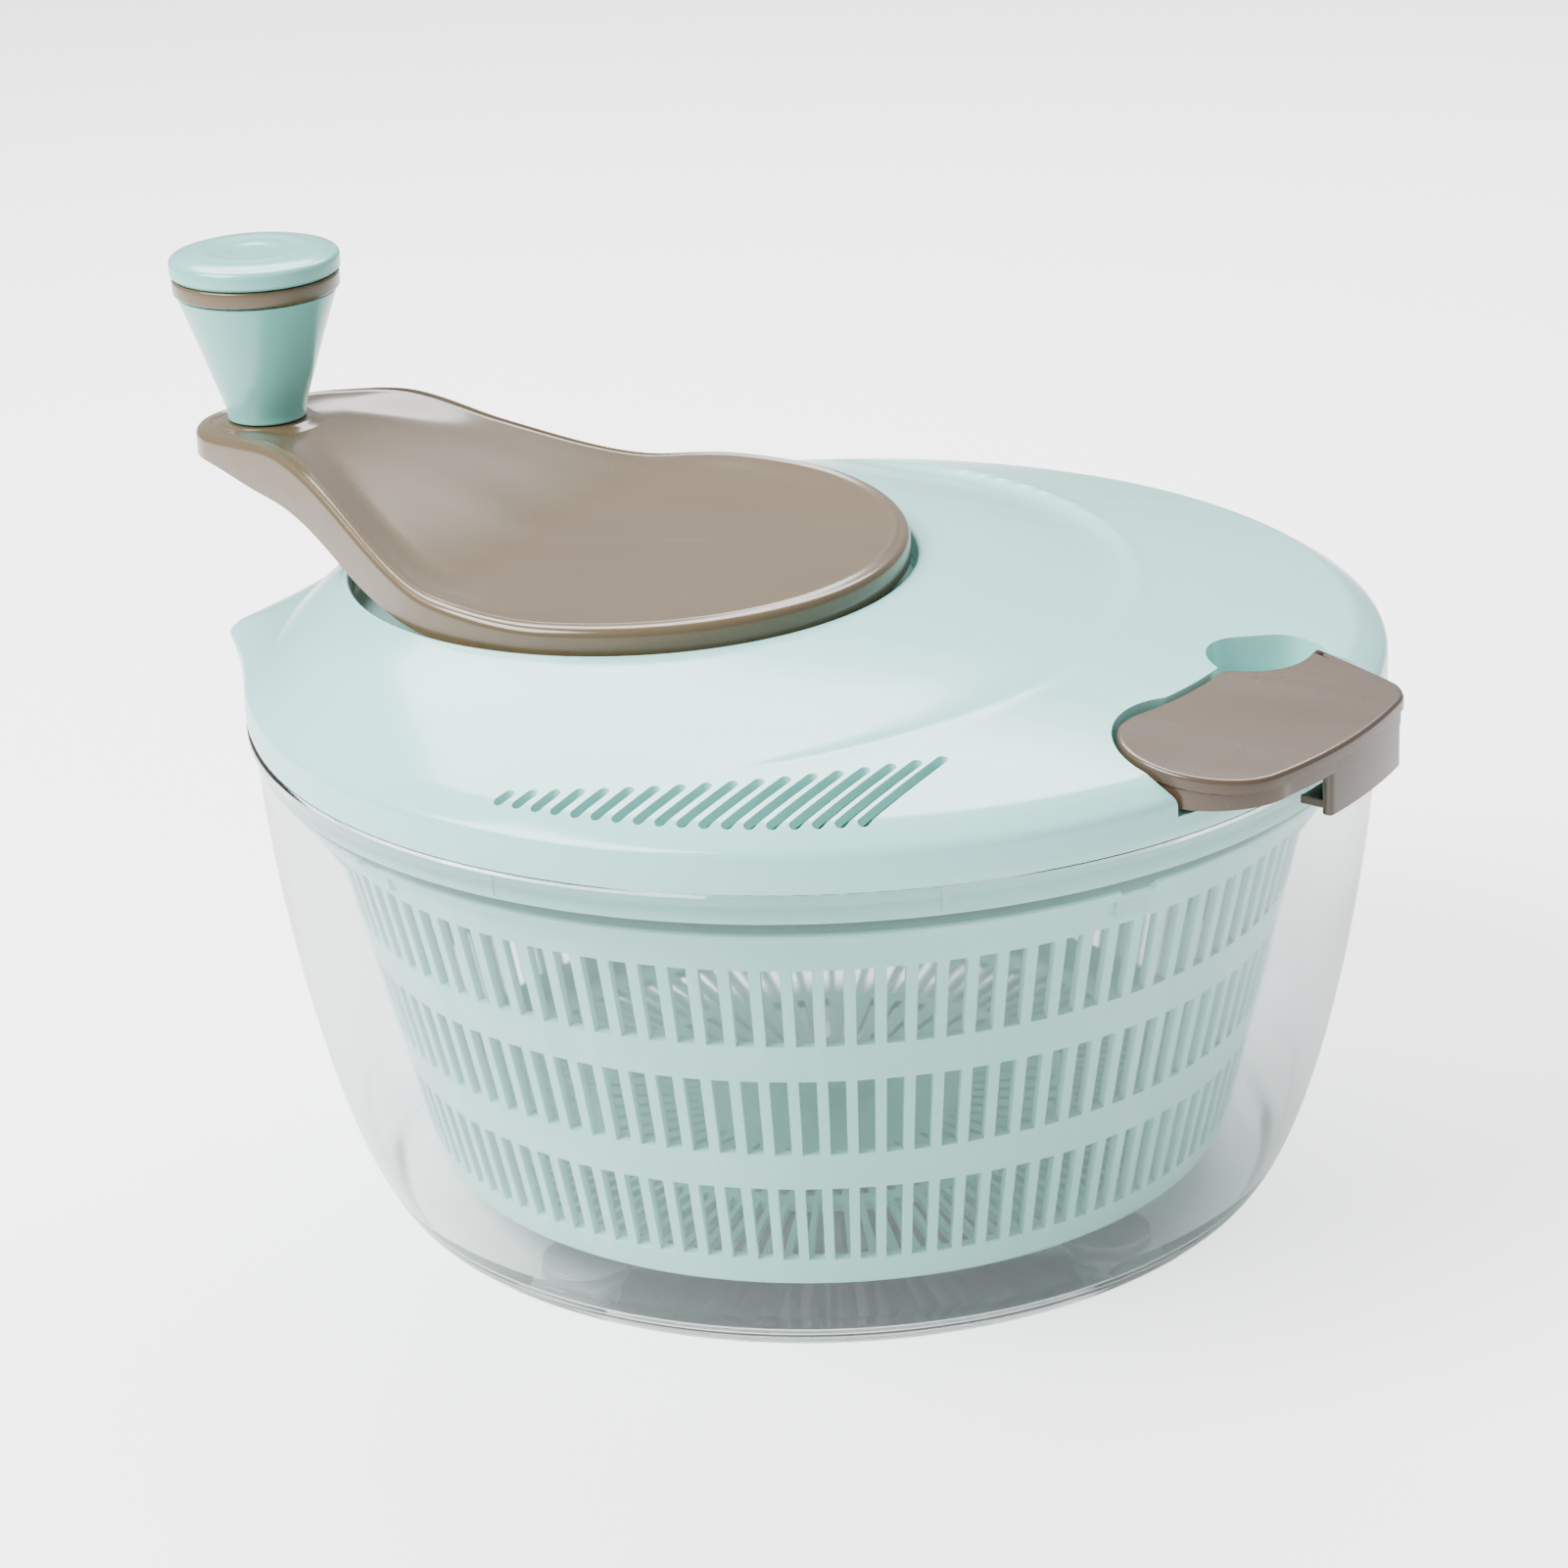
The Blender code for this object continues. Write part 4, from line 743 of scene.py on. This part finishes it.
def crease(x, y):
    """How far the lid's top dips just inside the crease, an arc about the crank's axis."""
    away = hypot(x - CRANK_X, y)
    inside = (CREASE_R - away) / CREASE_WIDTH
    angle = atan2(y, x - CRANK_X)
    fade = smooth((angle - CREASE_FROM) / radians(30)) * smooth((CREASE_TO - angle) / radians(25))
    dip = CREASE_DIP * inside * exp(1 - inside) if inside > 0 else 0.0
    deeper = 1 + 1.4 * smooth((angle - radians(8)) / radians(30))
    ridge = CREASE_RIDGE * exp(-((away - CREASE_R) / (1.6 * MM)) ** 2)
    return fade * (dip * deeper - ridge)


def lid_rings():
    """(centre x, radius, height, share of the beak) from the skirt's foot to the recess's floor."""
    rings = []
    skirt = LID_FOOT + SKIRT_H - 0.6 * MM
    for k in range(6):
        share = k / 5
        radius = LID_R - 0.4 * MM * (1 - min(1, share * 5))
        rings.append((0, radius, LID_FOOT + (skirt - LID_FOOT) * share, share**3))
    corner = [(LID_R, skirt), (LID_R, skirt + 1.6 * MM), (LID_R - 1.5 * MM, skirt + 2.6 * MM)]
    foot_r, foot_z = LID_R - EDGE_IN, LID_FOOT + SKIRT_H + EDGE_UP
    shoulder = [corner[-1], (LID_R - 4.2 * MM, skirt + 4.6 * MM), (foot_r, foot_z)]
    for curve, steps, from_share, to_share in ((corner, 6, 1.0, 0.8), (shoulder, 7, 0.8, 0.0)):
        start, bend, stop = [Vector(point) for point in curve]
        for k in range(1, steps + 1):
            t = k / steps
            r, z = start.lerp(bend, t).lerp(bend.lerp(stop, t), t)
            rings.append((0, r, z, from_share + (to_share - from_share) * t))
    steps = 56
    for k in range(1, steps + 1):
        share = k / steps
        rise = share + 0.05 * sin(pi * share)
        top = LID_TOP - RECESS_LIP * 0.3
        radius = foot_r + (RECESS_R + RECESS_LIP - foot_r) * share
        rings.append((CRANK_X * share, radius, foot_z + (top - foot_z) * rise, 0))
    for k in range(1, 6):
        turn = k / 5 * pi / 2
        lip_r, lip_z = RECESS_R + RECESS_LIP * (1 - sin(turn)), LID_TOP - RECESS_LIP * (1 - cos(turn))
        rings.append((CRANK_X, lip_r, lip_z, 0))
    floor = LID_TOP - RECESS_DEPTH
    rings += [(CRANK_X, RECESS_R, floor + 0.8 * MM, 0), (CRANK_X, RECESS_R - 0.8 * MM, floor, 0)]
    rings += [(CRANK_X, RECESS_R / 2, floor, 0), (CRANK_X, 8.0 * MM, floor, 0)]
    return rings


def lid_point(ring, angle):
    x, r, z, share = ring
    out = r + BEAK_REACH * share * beak(angle)
    px, py = x + out * cos(angle), out * sin(angle)
    on_top = z > LID_FOOT + SKIRT_H + EDGE_UP and hypot(px - CRANK_X, py) > RECESS_R + RECESS_LIP
    return (px, py, z - (crease(px, py) if on_top else 0.0))


def lid_surface(rings, closed):
    shape = bmesh.new()
    turns = [2 * pi * (k + 0.5) / FINE for k in range(FINE)]
    loops = [[shape.verts.new(lid_point(ring, a)) for a in turns] for ring in rings]
    for lower, upper in zip(loops, loops[1:]):
        for i in range(FINE):
            j = (i + 1) % FINE
            shape.faces.new((lower[i], lower[j], upper[j], upper[i]))
    if closed:
        shape.faces.new(list(reversed(loops[0])))
        shape.faces.new(loops[-1])
    return shape


def latch_pocket(grow, low, high):
    """The latch's pocket with its finger well, grown outwards where it cuts a wall's outside."""
    start = LATCH_PIVOT_ANGLE - radians(2.3)
    side = LATCH_TIP + (POCKET_GAP + grow) / LID_R
    inner = arc(LATCH_IN_R - POCKET_GAP - grow, start, LATCH_CUSP, 24)
    tip = [polar(LATCH_TIP_R - POCKET_GAP - grow, side)]
    far = LATCH_OUT_R + 50 * MM
    outer = [polar(far, side - radians(2.5)), polar(far, LATCH_PIVOT_ANGLE)]
    body = bmesh.new()
    flat_prism(body, inner + tip + outer, low, high)
    cutter = finish_mesh("pocket_body", body, None)
    lobe = bmesh.new()
    flat_prism(lobe, arc(LATCH_LOBE_R + POCKET_GAP + grow, 0, 2 * pi * 71 / 72, 71, LATCH_AT), low, high)
    combine(cutter, finish_mesh("pocket_lobe", lobe, None), "UNION")
    rounds = arc(WELL_R + grow, 0, 2 * pi, 72, polar(WELL_AT_R, WELL_ANGLE))
    rounds += arc(COVE_R + grow, 0, 2 * pi, 72, polar(COVE_AT_R, COVE_ANGLE))
    well = bmesh.new()
    flat_prism(well, [rounds[i] for i in convex_hull_2d(rounds)], low, high)
    combine(cutter, finish_mesh("pocket_well", well, None), "UNION")
    return cutter


def flat_prism(shape, outline, low, high):
    outline = counter_clockwise(outline)
    lower = [shape.verts.new((x, y, low)) for x, y in outline]
    upper = [shape.verts.new((x, y, high)) for x, y in outline]
    for i in range(len(outline)):
        j = (i + 1) % len(outline)
        shape.faces.new((lower[i], lower[j], upper[j], upper[i]))
    shape.faces.new(list(reversed(lower)))
    shape.faces.new(upper)


def vent_ends(number):
    """The outer and inner ends of a vent: they fan out and grow longer round the rim."""
    share = number / (VENTS - 1)
    angle = VENT_FIRST + VENT_SPAN * share
    length = VENT_SHORT + VENT_GROWS * (1 - (1 - share) ** VENT_GROWTH_POWER)
    outer = polar(VENT_OUT_R, angle)
    inner = polar(VENT_OUT_R - length, angle + VENT_SKEW + VENT_FAN * share**VENT_FAN_POWER)
    return outer, inner


def vent_cutters():
    """Slots with round ends, standing across the lid's wall."""
    shape = bmesh.new()
    half = VENT_W / 2
    for number in range(VENTS):
        (x0, y0), (x1, y1) = vent_ends(number)
        lean = atan2(y1 - y0, x1 - x0)
        end_x, end_y = polar(half, lean)
        outline = arc(half, lean - pi / 2, lean + pi / 2, 8, (x1 - end_x, y1 - end_y))
        outline += arc(half, lean + pi / 2, lean + 3 * pi / 2, 8, (x0 + end_x, y0 + end_y))
        flat_prism(shape, outline, POCKET_FLOOR, LID_TOP)
    return finish_mesh("vent_cutters", shape, None)


def make_lid():
    rings = lid_rings()
    lid = finish_mesh("vented_lid", lid_surface(rings, closed=False), LID_AQUA)
    wall = lid.modifiers.new("wall", "SOLIDIFY")
    wall.thickness = LID_WALL
    wall.offset = -1
    apply_modifiers(lid)
    to_edge = [ring for ring in rings if ring[0] != CRANK_X or ring[1] > RECESS_R + RECESS_LIP * 0.9]
    envelope = finish_mesh("lid_envelope", lid_surface(to_edge, closed=True), None)
    walls = latch_pocket(POCKET_WALL, POCKET_FLOOR - POCKET_WALL, LID_TOP)
    combine(walls, envelope, "INTERSECT")
    combine(lid, walls, "UNION")
    combine(lid, latch_pocket(0.0, POCKET_FLOOR, LID_TOP + 20 * MM), "DIFFERENCE")
    combine(lid, vent_cutters(), "DIFFERENCE")
    lid.data.materials.clear()
    lid.data.materials.append(LID_AQUA)
    lid.data.shade_smooth()
    lid.data.set_sharp_from_angle(angle=radians(28))
    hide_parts("lid_shell")
    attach(lid, "lid_body")


def eased_block(shape, place, ease, segments):
    made = bmesh.ops.create_cube(shape, size=1, matrix=place)
    edges = list({edge for vert in made["verts"] for edge in vert.link_edges})
    bmesh.ops.bevel(shape, geom=edges, offset=ease, segments=segments)


def make_plug_ring():
    """The lid's underside: a flat plate with a plug ring, eight ribs, and a hub for the driver's bush."""
    ring_r = COVER_HIGH.x - 0.4 * MM
    wall = 2.2 * MM
    hub_in, hub_out = 6.95 * MM, 10.45 * MM
    plate = COVER_LOW.z + 2.0 * MM
    profile = [
        (ring_r - wall, COVER_HIGH.z),
        (ring_r, COVER_HIGH.z),
        (ring_r, COVER_LOW.z),
        (hub_in, COVER_LOW.z),
        (hub_in, plate + 4.0 * MM),
        (hub_out, plate + 4.0 * MM),
        (hub_out, plate),
        (ring_r - wall, plate),
    ]
    shape = bmesh.new()
    revolve(shape, softened(profile, 0.5 * MM), FINE)
    for k in range(8):
        turn = Matrix.Rotation(2 * pi * (k + 0.5) / 8, 4, "Z")
        tall = COVER_HIGH.z - COVER_LOW.z - 3.0 * MM
        move = Matrix.Translation((ring_r, 0, COVER_LOW.z + 1.0 * MM + tall / 2))
        eased_block(shape, turn @ move @ Matrix.Diagonal((0.8 * MM, 2 * MM, tall, 1)), 0.25 * MM, 2)
    cover = finish_mesh("plug_ring", shape, BASKET_AQUA)
    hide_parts("gear_cover")
    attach(cover, "lid_body")


def drive_lugs(size, middle, ease):
    """Four blocks that drop into the notches in the basket's rim."""
    shape = bmesh.new()
    for k in range(DRIVE_LUGS):
        turn = Matrix.Rotation(2 * pi * (k + 0.5) / DRIVE_LUGS, 4, "Z")
        place = turn @ Matrix.Translation((middle[0], 0, middle[1])) @ Matrix.Diagonal((*size, 1))
        eased_block(shape, place, ease, 3)
    return finish_mesh("drive_lugs", shape, None)


def make_driver_plate():
    """The disc that turns the basket, with a stub up into the lid's bush and a bore for the screw."""
    low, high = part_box("driver_disc")
    plate = low.z + 2.0 * MM
    stub_r, bore_r = 5.0 * MM, 1.2 * MM
    profile = [(bore_r, low.z), (high.x, low.z), (high.x, plate), (stub_r, plate)]
    profile += [(stub_r, high.z), (bore_r, high.z)]
    driver = turned_piece("driver_plate", softened(profile, 0.5 * MM), BASKET_AQUA, FINE)
    reach = 2.5 * BASKET_WALL
    depth = DRIVE_LUG_DEPTH + MM
    middle = (BASKET_TOP_R - reach / 2 - 0.3 * MM, low.z + MM - depth / 2)
    combine(driver, drive_lugs((reach, DRIVE_LUG_W, depth), middle, 0.6 * MM), "UNION")
    driver.data.shade_smooth()
    driver.data.set_sharp_from_angle(angle=radians(32))
    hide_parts("driver_disc")
    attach(driver, "driver")


# Crank


def crank_outline():
    """Half of the crank from above: the disc, a flank with a waist, and the round knob end."""
    lean = acos((CRANK_DISC_R - CRANK_END_R) / CRANK_REACH)
    disc = arc(CRANK_DISC_R, pi, lean, 90)
    end = arc(CRANK_END_R, lean, 0, 26, (CRANK_REACH, 0))
    (x0, y0), (x1, y1) = disc[-1], end[0]
    flank = []
    for k in range(1, 40):
        share = k / 40
        sag = CRANK_WAIST * 16 * (share * (1 - share)) ** 2
        flank.append((x0 + (x1 - x0) * share - sag * cos(lean), y0 + (y1 - y0) * share - sag * sin(lean)))
    half = disc + flank + end
    return half + [(x, -y) for x, y in reversed(half[1:-1])]


def crank_rise(x):
    return CRANK_RISE * smooth((x - CRANK_RISE_FROM) / CRANK_RISE_RUN)


def crank_foot(x, y, edge):
    """The underside: it hangs lower along the rising flanks."""
    hang = CRANK_SKIRT * smooth((x - 22 * MM) / (28 * MM)) * smooth((104 * MM - x) / (30 * MM))
    return CRANK_FOOT + crank_rise(x) - hang


def crank_rim(x, y):
    """How far the edge stands above the middle: all along the near flank, at both ends of the far one."""
    near = CRANK_RIM_UP * smooth((x + 8 * MM) / (40 * MM)) * smooth((104 * MM - x) / (30 * MM))
    far = 1.4 * MM * (1 - smooth(x / (30 * MM))) * smooth((x + 70 * MM) / (50 * MM))
    far += 2.2 * MM * smooth((x - 52 * MM) / (20 * MM)) * smooth((108 * MM - x) / (24 * MM))
    side = smooth(y / (30 * MM) + 0.5)
    return far + (near - far) * side


def crank_top(x, y, edge):
    """The top's height at x along the arm and a distance in from the edge: round edge, bead and rims."""
    height = CRANK_TOP + crank_rise(x)
    if edge < CRANK_EDGE:
        height -= CRANK_EDGE - sqrt(CRANK_EDGE**2 - (CRANK_EDGE - edge) ** 2)
    height += 0.45 * MM * exp(-(((edge - 3.1 * MM) / (0.7 * MM)) ** 2))
    height += crank_rim(x, y) * (1 - smooth((edge - 3 * MM) / (15 * MM)))
    dish = 0.9 * MM * smooth((edge - 8 * MM) / (40 * MM)) * (1 - smooth(x / (60 * MM)))
    return height - dish


def make_crank():
    """Rings of the outline drawn in towards the arm's middle line, top and foot, about the crank's axis."""
    outline = counter_clockwise(crank_outline())
    edges = [0, 0.08, 0.25, 0.55, 0.95, 1.4, 1.9, 2.3, 2.7, 3.1, 3.5, 3.9, 4.4, 5.2, 6.4, 8.0, 10.0, 12.5]
    shares = [0.12, 0.25, 0.4, 0.55, 0.7, 0.85]
    length = CRANK_DISC_R + CRANK_REACH + CRANK_END_R
    shape = bmesh.new()

    def ring(step, height):
        made = []
        for x, y in outline:
            middle = (x + CRANK_DISC_R) / length * CRANK_REACH
            run = hypot(x - middle, y)
            edge = step * MM if step <= edges[-1] else 0
            if step > edges[-1]:
                edge = edges[-1] * MM + (run - edges[-1] * MM) * (step - 100)
            px, py = x + (middle - x) * edge / run, y - y * edge / run
            made.append(shape.verts.new((px, py, height(px, py, edge))))
        return made

    steps = edges + [100 + s for s in shares]
    top = [ring(step, crank_top) for step in steps]
    foot = [ring(step, crank_foot) for step in (0, 4.4, 12.5, 100.4, 100.85)]
    for loops in (top, foot, [foot[0], top[0]]):
        for near, far in zip(loops, loops[1:]):
            for i in range(len(near)):
                j = (i + 1) % len(near)
                shape.faces.new((near[i], near[j], far[j], far[i]))
    for last in (top[-1], foot[-1]):
        close_strip(shape, last)
    boss = [(0, -1.5), (15.0, -1.5), (13.0, 0.15), (11.2, 0.5), (10.5, 1.0), (0, 1.0)]
    arm_top = CRANK_TOP + CRANK_RISE
    revolve(shape, [(r * MM, arm_top + z * MM) for r, z in boss], KNOB_FINE, (CRANK_REACH, 0))
    hub_r, bore_r, hub_top, hub_foot = 6 * MM, 2.25 * MM, CRANK_FOOT + MM, CRANK_LOW.z
    hub = [(bore_r, hub_top), (hub_r, hub_top), (hub_r, hub_foot), (bore_r, hub_foot)]
    revolve(shape, softened(hub, 0.4 * MM), 48)
    crank = finish_mesh("paddle_crank", shape, CRANK_TAUPE)
    crank.data.transform(Matrix.Translation((CRANK_X, 0, 0)) @ Matrix.Rotation(CRANK_ANGLE, 4, "Z"))
    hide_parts("crank_arm")
    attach(crank, "crank_body")


def close_strip(shape, loop):
    """Closes a long thin loop with quads across it, from its first end to its far end."""
    shape.faces.new((loop[0], loop[1], loop[-1]))
    for k in range(len(loop) // 2 - 1):
        a, b, c, d = loop[k + 1], loop[k + 2], loop[-k - 2], loop[-k - 1]
        if b is c:
            shape.faces.new((a, b, d))
            break
        shape.faces.new((a, b, c, d))


# Knob


def make_knob():
    low, high = KNOB_BODY_LOW.z, KNOB_BODY_HIGH.z
    tall = high - low
    foot_r, widens, waist = 9.0 * MM, 9.2 * MM, 0.7 * MM
    side = []
    for k in range(24, -1, -1):
        s = k / 24
        flare = waist * exp(-s * 14)
        radius = foot_r + widens * s**1.15 - waist + flare + waist * min(1.0, s * 3)
        side.append((radius, low + tall * s))
    hollow_r, bore_r, hollow_foot = 12.0 * MM, 3.25 * MM, high - 12 * MM
    profile = [(hollow_r, high)] + side + [(bore_r, low), (bore_r, hollow_foot), (hollow_r, hollow_foot)]
    body = turned_piece("knob_grip", softened(profile, 0.5 * MM), KNOB_AQUA_WITH_PAINTED_SHADE, KNOB_FINE, KNOB_AT)
    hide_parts("knob_body")
    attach(body, "knob")
    low, high = KNOB_RING_LOW.z, KNOB_RING_HIGH.z
    band_in, band_out = 13.9 * MM, 18.9 * MM
    profile = [(band_in, high), (band_out, high), (band_out, low), (band_in, low)]
    band = turned_piece("knob_band", softened(profile, 0.7 * MM), CRANK_TAUPE, KNOB_FINE, KNOB_AT)
    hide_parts("knob_ring")
    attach(band, "knob")
    make_knob_cap()


def make_knob_cap():
    """A low dome with a shallow dimple and two faint rings turned into it."""
    top = KNOB_CAP_HIGH.z
    foot = top - 5.6 * MM
    radius = 19.3 * MM
    crown = []
    steps = 60
    for k in range(steps + 1):
        r = radius * 0.93 * k / steps
        share = r / radius
        dome = -1.9 * MM * share**6
        dimple = -0.9 * MM * (1 - smooth(share / 0.66))
        rings = 0.10 * MM * sin(share * 24) * smooth(share * 4) * (1 - smooth((share - 0.6) / 0.2))
        crown.append((r, min(top, top - 0.12 * MM + dome + dimple + rings)))
    edge_z = crown[-1][1]
    for k in range(1, 8):
        turn = k / 7 * pi / 2
        crown.append((radius * (0.93 + 0.07 * sin(turn)), edge_z - 1.4 * MM * (1 - cos(turn))))
    profile = crown + [(radius, foot + 0.6 * MM), (radius - 0.6 * MM, foot), (13.6 * MM, foot)]
    profile += [(13.6 * MM, KNOB_CAP_LOW.z), (0, KNOB_CAP_LOW.z)]
    cap = turned_piece("knob_dome", profile, KNOB_AQUA_WITH_PAINTED_SHADE, KNOB_FINE, KNOB_AT)
    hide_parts("knob_cap")
    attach(cap, "knob")


# Latch


def latch_outline():
    """A round lobe about the pin, an edge along the rim, and a scallop for the finger."""
    lobe = arc(LATCH_LOBE_R, LATCH_PIVOT_ANGLE - radians(22), LATCH_PIVOT_ANGLE - radians(150), 48, LATCH_AT)
    inner = arc(LATCH_IN_R, LATCH_PIVOT_ANGLE - radians(2.5), LATCH_CUSP, 24)
    cusp, tip = inner[-1], polar(LATCH_TIP_R, LATCH_TIP)
    run_x, run_y = tip[0] - cusp[0], tip[1] - cusp[1]
    run = hypot(run_x, run_y)
    scallop = []
    for k in range(1, 24):
        share = k / 24
        sag = 5.0 * MM * 4 * share * (1 - share)
        x = cusp[0] + run_x * share + sag * run_y / run
        y = cusp[1] + run_y * share - sag * run_x / run
        scallop.append((x, y))
    end = [polar(LATCH_OUT_R - 8 * MM, LATCH_END + radians(1.2)), polar(LATCH_OUT_R - 2.5 * MM, LATCH_END)]
    outer = arc(LATCH_OUT_R, LATCH_END - radians(2), LATCH_PIVOT_ANGLE - radians(1.5), 36)
    return lobe + inner + scallop + [tip] + end + outer


def latch_height(x, y):
    """The latch's top: a plane that falls outwards."""
    along = LATCH_PIVOT_ANGLE + radians(9)
    return LATCH_RIM_Z - (x * cos(along) + y * sin(along) - LID_R) * sin(LATCH_TILT) / cos(LATCH_TILT)


def make_latch():
    """A thin tilted plate with a skirt down its outer edge, and a claw beside the bowl's rim."""
    shape = bmesh.new()
    outline = rounded_flat(counter_clockwise(latch_outline()), 0.7 * MM, 9)
    backing = (1.35, 2.0, 3.0)
    pad(shape, outline, lambda x, y: latch_height(x, y) - LATCH_THICK, latch_height, LATCH_EDGE, backing)
    wall_in, wall_out = LATCH_OUT_R - 3.0 * MM, LATCH_OUT_R - 0.4 * MM
    claw_foot = LATCH_LOW.z
    lobe_from = LATCH_PIVOT_ANGLE - radians(95)
    lobe_in, lobe_out = LATCH_LOBE_R - 3.0 * MM, LATCH_LOBE_R - 0.5 * MM
    skirt = arc(lobe_out, lobe_from, LATCH_PIVOT_ANGLE, 24, LATCH_AT)
    skirt += arc(wall_out, LATCH_PIVOT_ANGLE + radians(1), LATCH_END - radians(2.2), 24)
    skirt += arc(wall_in, LATCH_END - radians(2.2), LATCH_PIVOT_ANGLE + radians(1), 24)
    skirt += arc(lobe_in, LATCH_PIVOT_ANGLE, lobe_from, 24, LATCH_AT)
    claw_from, claw_to = radians(-29), radians(-15)
    claw = arc(wall_in, claw_from, claw_to, 24) + arc(wall_out, claw_to, claw_from, 24)
    for outline, foot in ((skirt, POCKET_FLOOR + 1 * MM), (claw, claw_foot)):
        outline = rounded_flat(counter_clockwise(outline), 0.5 * MM, 5)
        pad(shape, outline, lambda x, y, z=foot: z, lambda x, y: latch_height(x, y) - 1.2 * MM, 0.5 * MM)
    lip_from, lip_to = radians(-28), radians(-16.5)
    lip = arc(LID_R + 0.7 * MM, lip_from, lip_to, 24) + arc(wall_out - MM, lip_to, lip_from, 24)
    pad(shape, lip, lambda x, y: claw_foot + 0.3 * MM, lambda x, y: claw_foot + 2.2 * MM, 0.4 * MM)
    hub_r, bore_r, hub_foot = 6 * MM, 2.8 * MM, POCKET_FLOOR + 0.3 * MM
    hub_top, bore_top = LATCH_RIM_Z - 1.6 * MM, LATCH_RIM_Z - 3.2 * MM
    hub = [(0, hub_top), (hub_r, hub_top), (hub_r, hub_foot)]
    hub += [(bore_r, hub_foot), (bore_r, bore_top), (0, bore_top)]
    revolve(shape, hub, 48, LATCH_AT)
    latch = finish_mesh("side_latch", shape, LATCH_TAUPE)
    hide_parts("latch")
    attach(latch, "latch_body")


def rounded_flat(outline, spacing, rounds):
    """The outline with points at an even spacing, its corners worn round by averaging."""
    count = len(outline)
    made = []
    left = 0.0
    for i in range(count):
        start, stop = Vector(outline[i]), Vector(outline[(i + 1) % count])
        run = (stop - start).length
        while left < run:
            made.append(start.lerp(stop, left / run))
            left += spacing
        left -= run
    for _ in range(rounds):
        made = [(made[i - 1] + 2 * made[i] + made[(i + 1) % len(made)]) / 4 for i in range(len(made))]
    return [tuple(point) for point in made]


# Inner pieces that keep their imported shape


def finish_kept_nodes():
    finishes = {
        "crank_gear": GEAR_WHITE,
        "pinion_gear": GEAR_WHITE,
        "crank_bush": GEAR_WHITE,
        "driver_bush": GEAR_WHITE,
        "crank_washer": SCREW_STEEL,
        "crank_screw": SCREW_STEEL,
        "driver_screw": SCREW_STEEL,
        "knob_spindle": SCREW_STEEL,
        "latch_pin": SCREW_STEEL,
    }
    finishes.update({f"cover_screw_{number}": SCREW_STEEL for number in range(1, 7)})
    for node, material in finishes.items():
        mesh = frame["nodes"][node].data
        mesh.materials.clear()
        mesh.materials.append(material)


# Stage


def make_floor():
    shape = bmesh.new()
    bmesh.ops.create_grid(shape, x_segments=1, y_segments=1, size=6.0)
    floor = finish_mesh("studio_floor", shape, None)
    material, shader = new_material("pale_floor")
    shader.inputs["Base Color"].default_value = (0.93, 0.93, 0.93, 1)
    shader.inputs["Roughness"].default_value = 0.75
    shader.inputs["Emission Color"].default_value = (1, 1, 1, 1)
    seen = material.node_tree.nodes.new("ShaderNodeLightPath")
    glow = material.node_tree.nodes.new("ShaderNodeMath")
    glow.operation = "MULTIPLY"
    glow.inputs[1].default_value = 1.6
    material.node_tree.links.new(seen.outputs["Is Camera Ray"], glow.inputs[0])
    material.node_tree.links.new(glow.outputs[0], shader.inputs["Emission Strength"])
    floor.data.materials.append(material)


def add_light(name, at, aim, size, power):
    light = bpy.data.lights.new(name, "AREA")
    light.shape = "RECTANGLE"
    light.size, light.size_y = size
    light.energy = power
    obj = bpy.data.objects.new(name, light)
    bpy.context.scene.collection.objects.link(obj)
    obj.location = at
    obj.rotation_euler = (Vector(aim) - Vector(at)).to_track_quat("-Z", "Y").to_euler()


def light_studio():
    world = bpy.data.worlds.new("studio")
    world.use_nodes = True
    world.node_tree.nodes["Background"].inputs["Color"].default_value = (1.0, 1.0, 1.0, 1)
    world.node_tree.nodes["Background"].inputs["Strength"].default_value = 0.68
    bpy.context.scene.world = world
    aim = (0, 0, 0.1)
    add_light("key", (-0.7, -0.5, 1.1), aim, (0.9, 0.7), 46)
    add_light("top", (-0.1, 0.8, 1.1), aim, (1.4, 0.5), 30)


def make_camera():
    data = bpy.data.cameras.new("camera")
    data.sensor_width = 36
    data.lens = 99.8
    camera = bpy.data.objects.new("camera", data)
    bpy.context.scene.collection.objects.link(camera)
    place = Vector((0.1731, -0.8907, 0.4474))
    aim = Vector((-0.0092, 0.0051, 0.0862))
    roll = Quaternion((0, 0, 1), radians(-2.38))
    camera.location = place
    camera.rotation_euler = ((aim - place).to_track_quat("-Z", "Y") @ roll).to_euler()
    bpy.context.scene.camera = camera


make_camera()
make_floor()
light_studio()
make_bowl()
for foot_number in range(1, 5):
    make_foot(foot_number)
make_basket()
make_lid()
make_plug_ring()
make_driver_plate()
make_crank()
make_knob()
make_latch()
finish_kept_nodes()
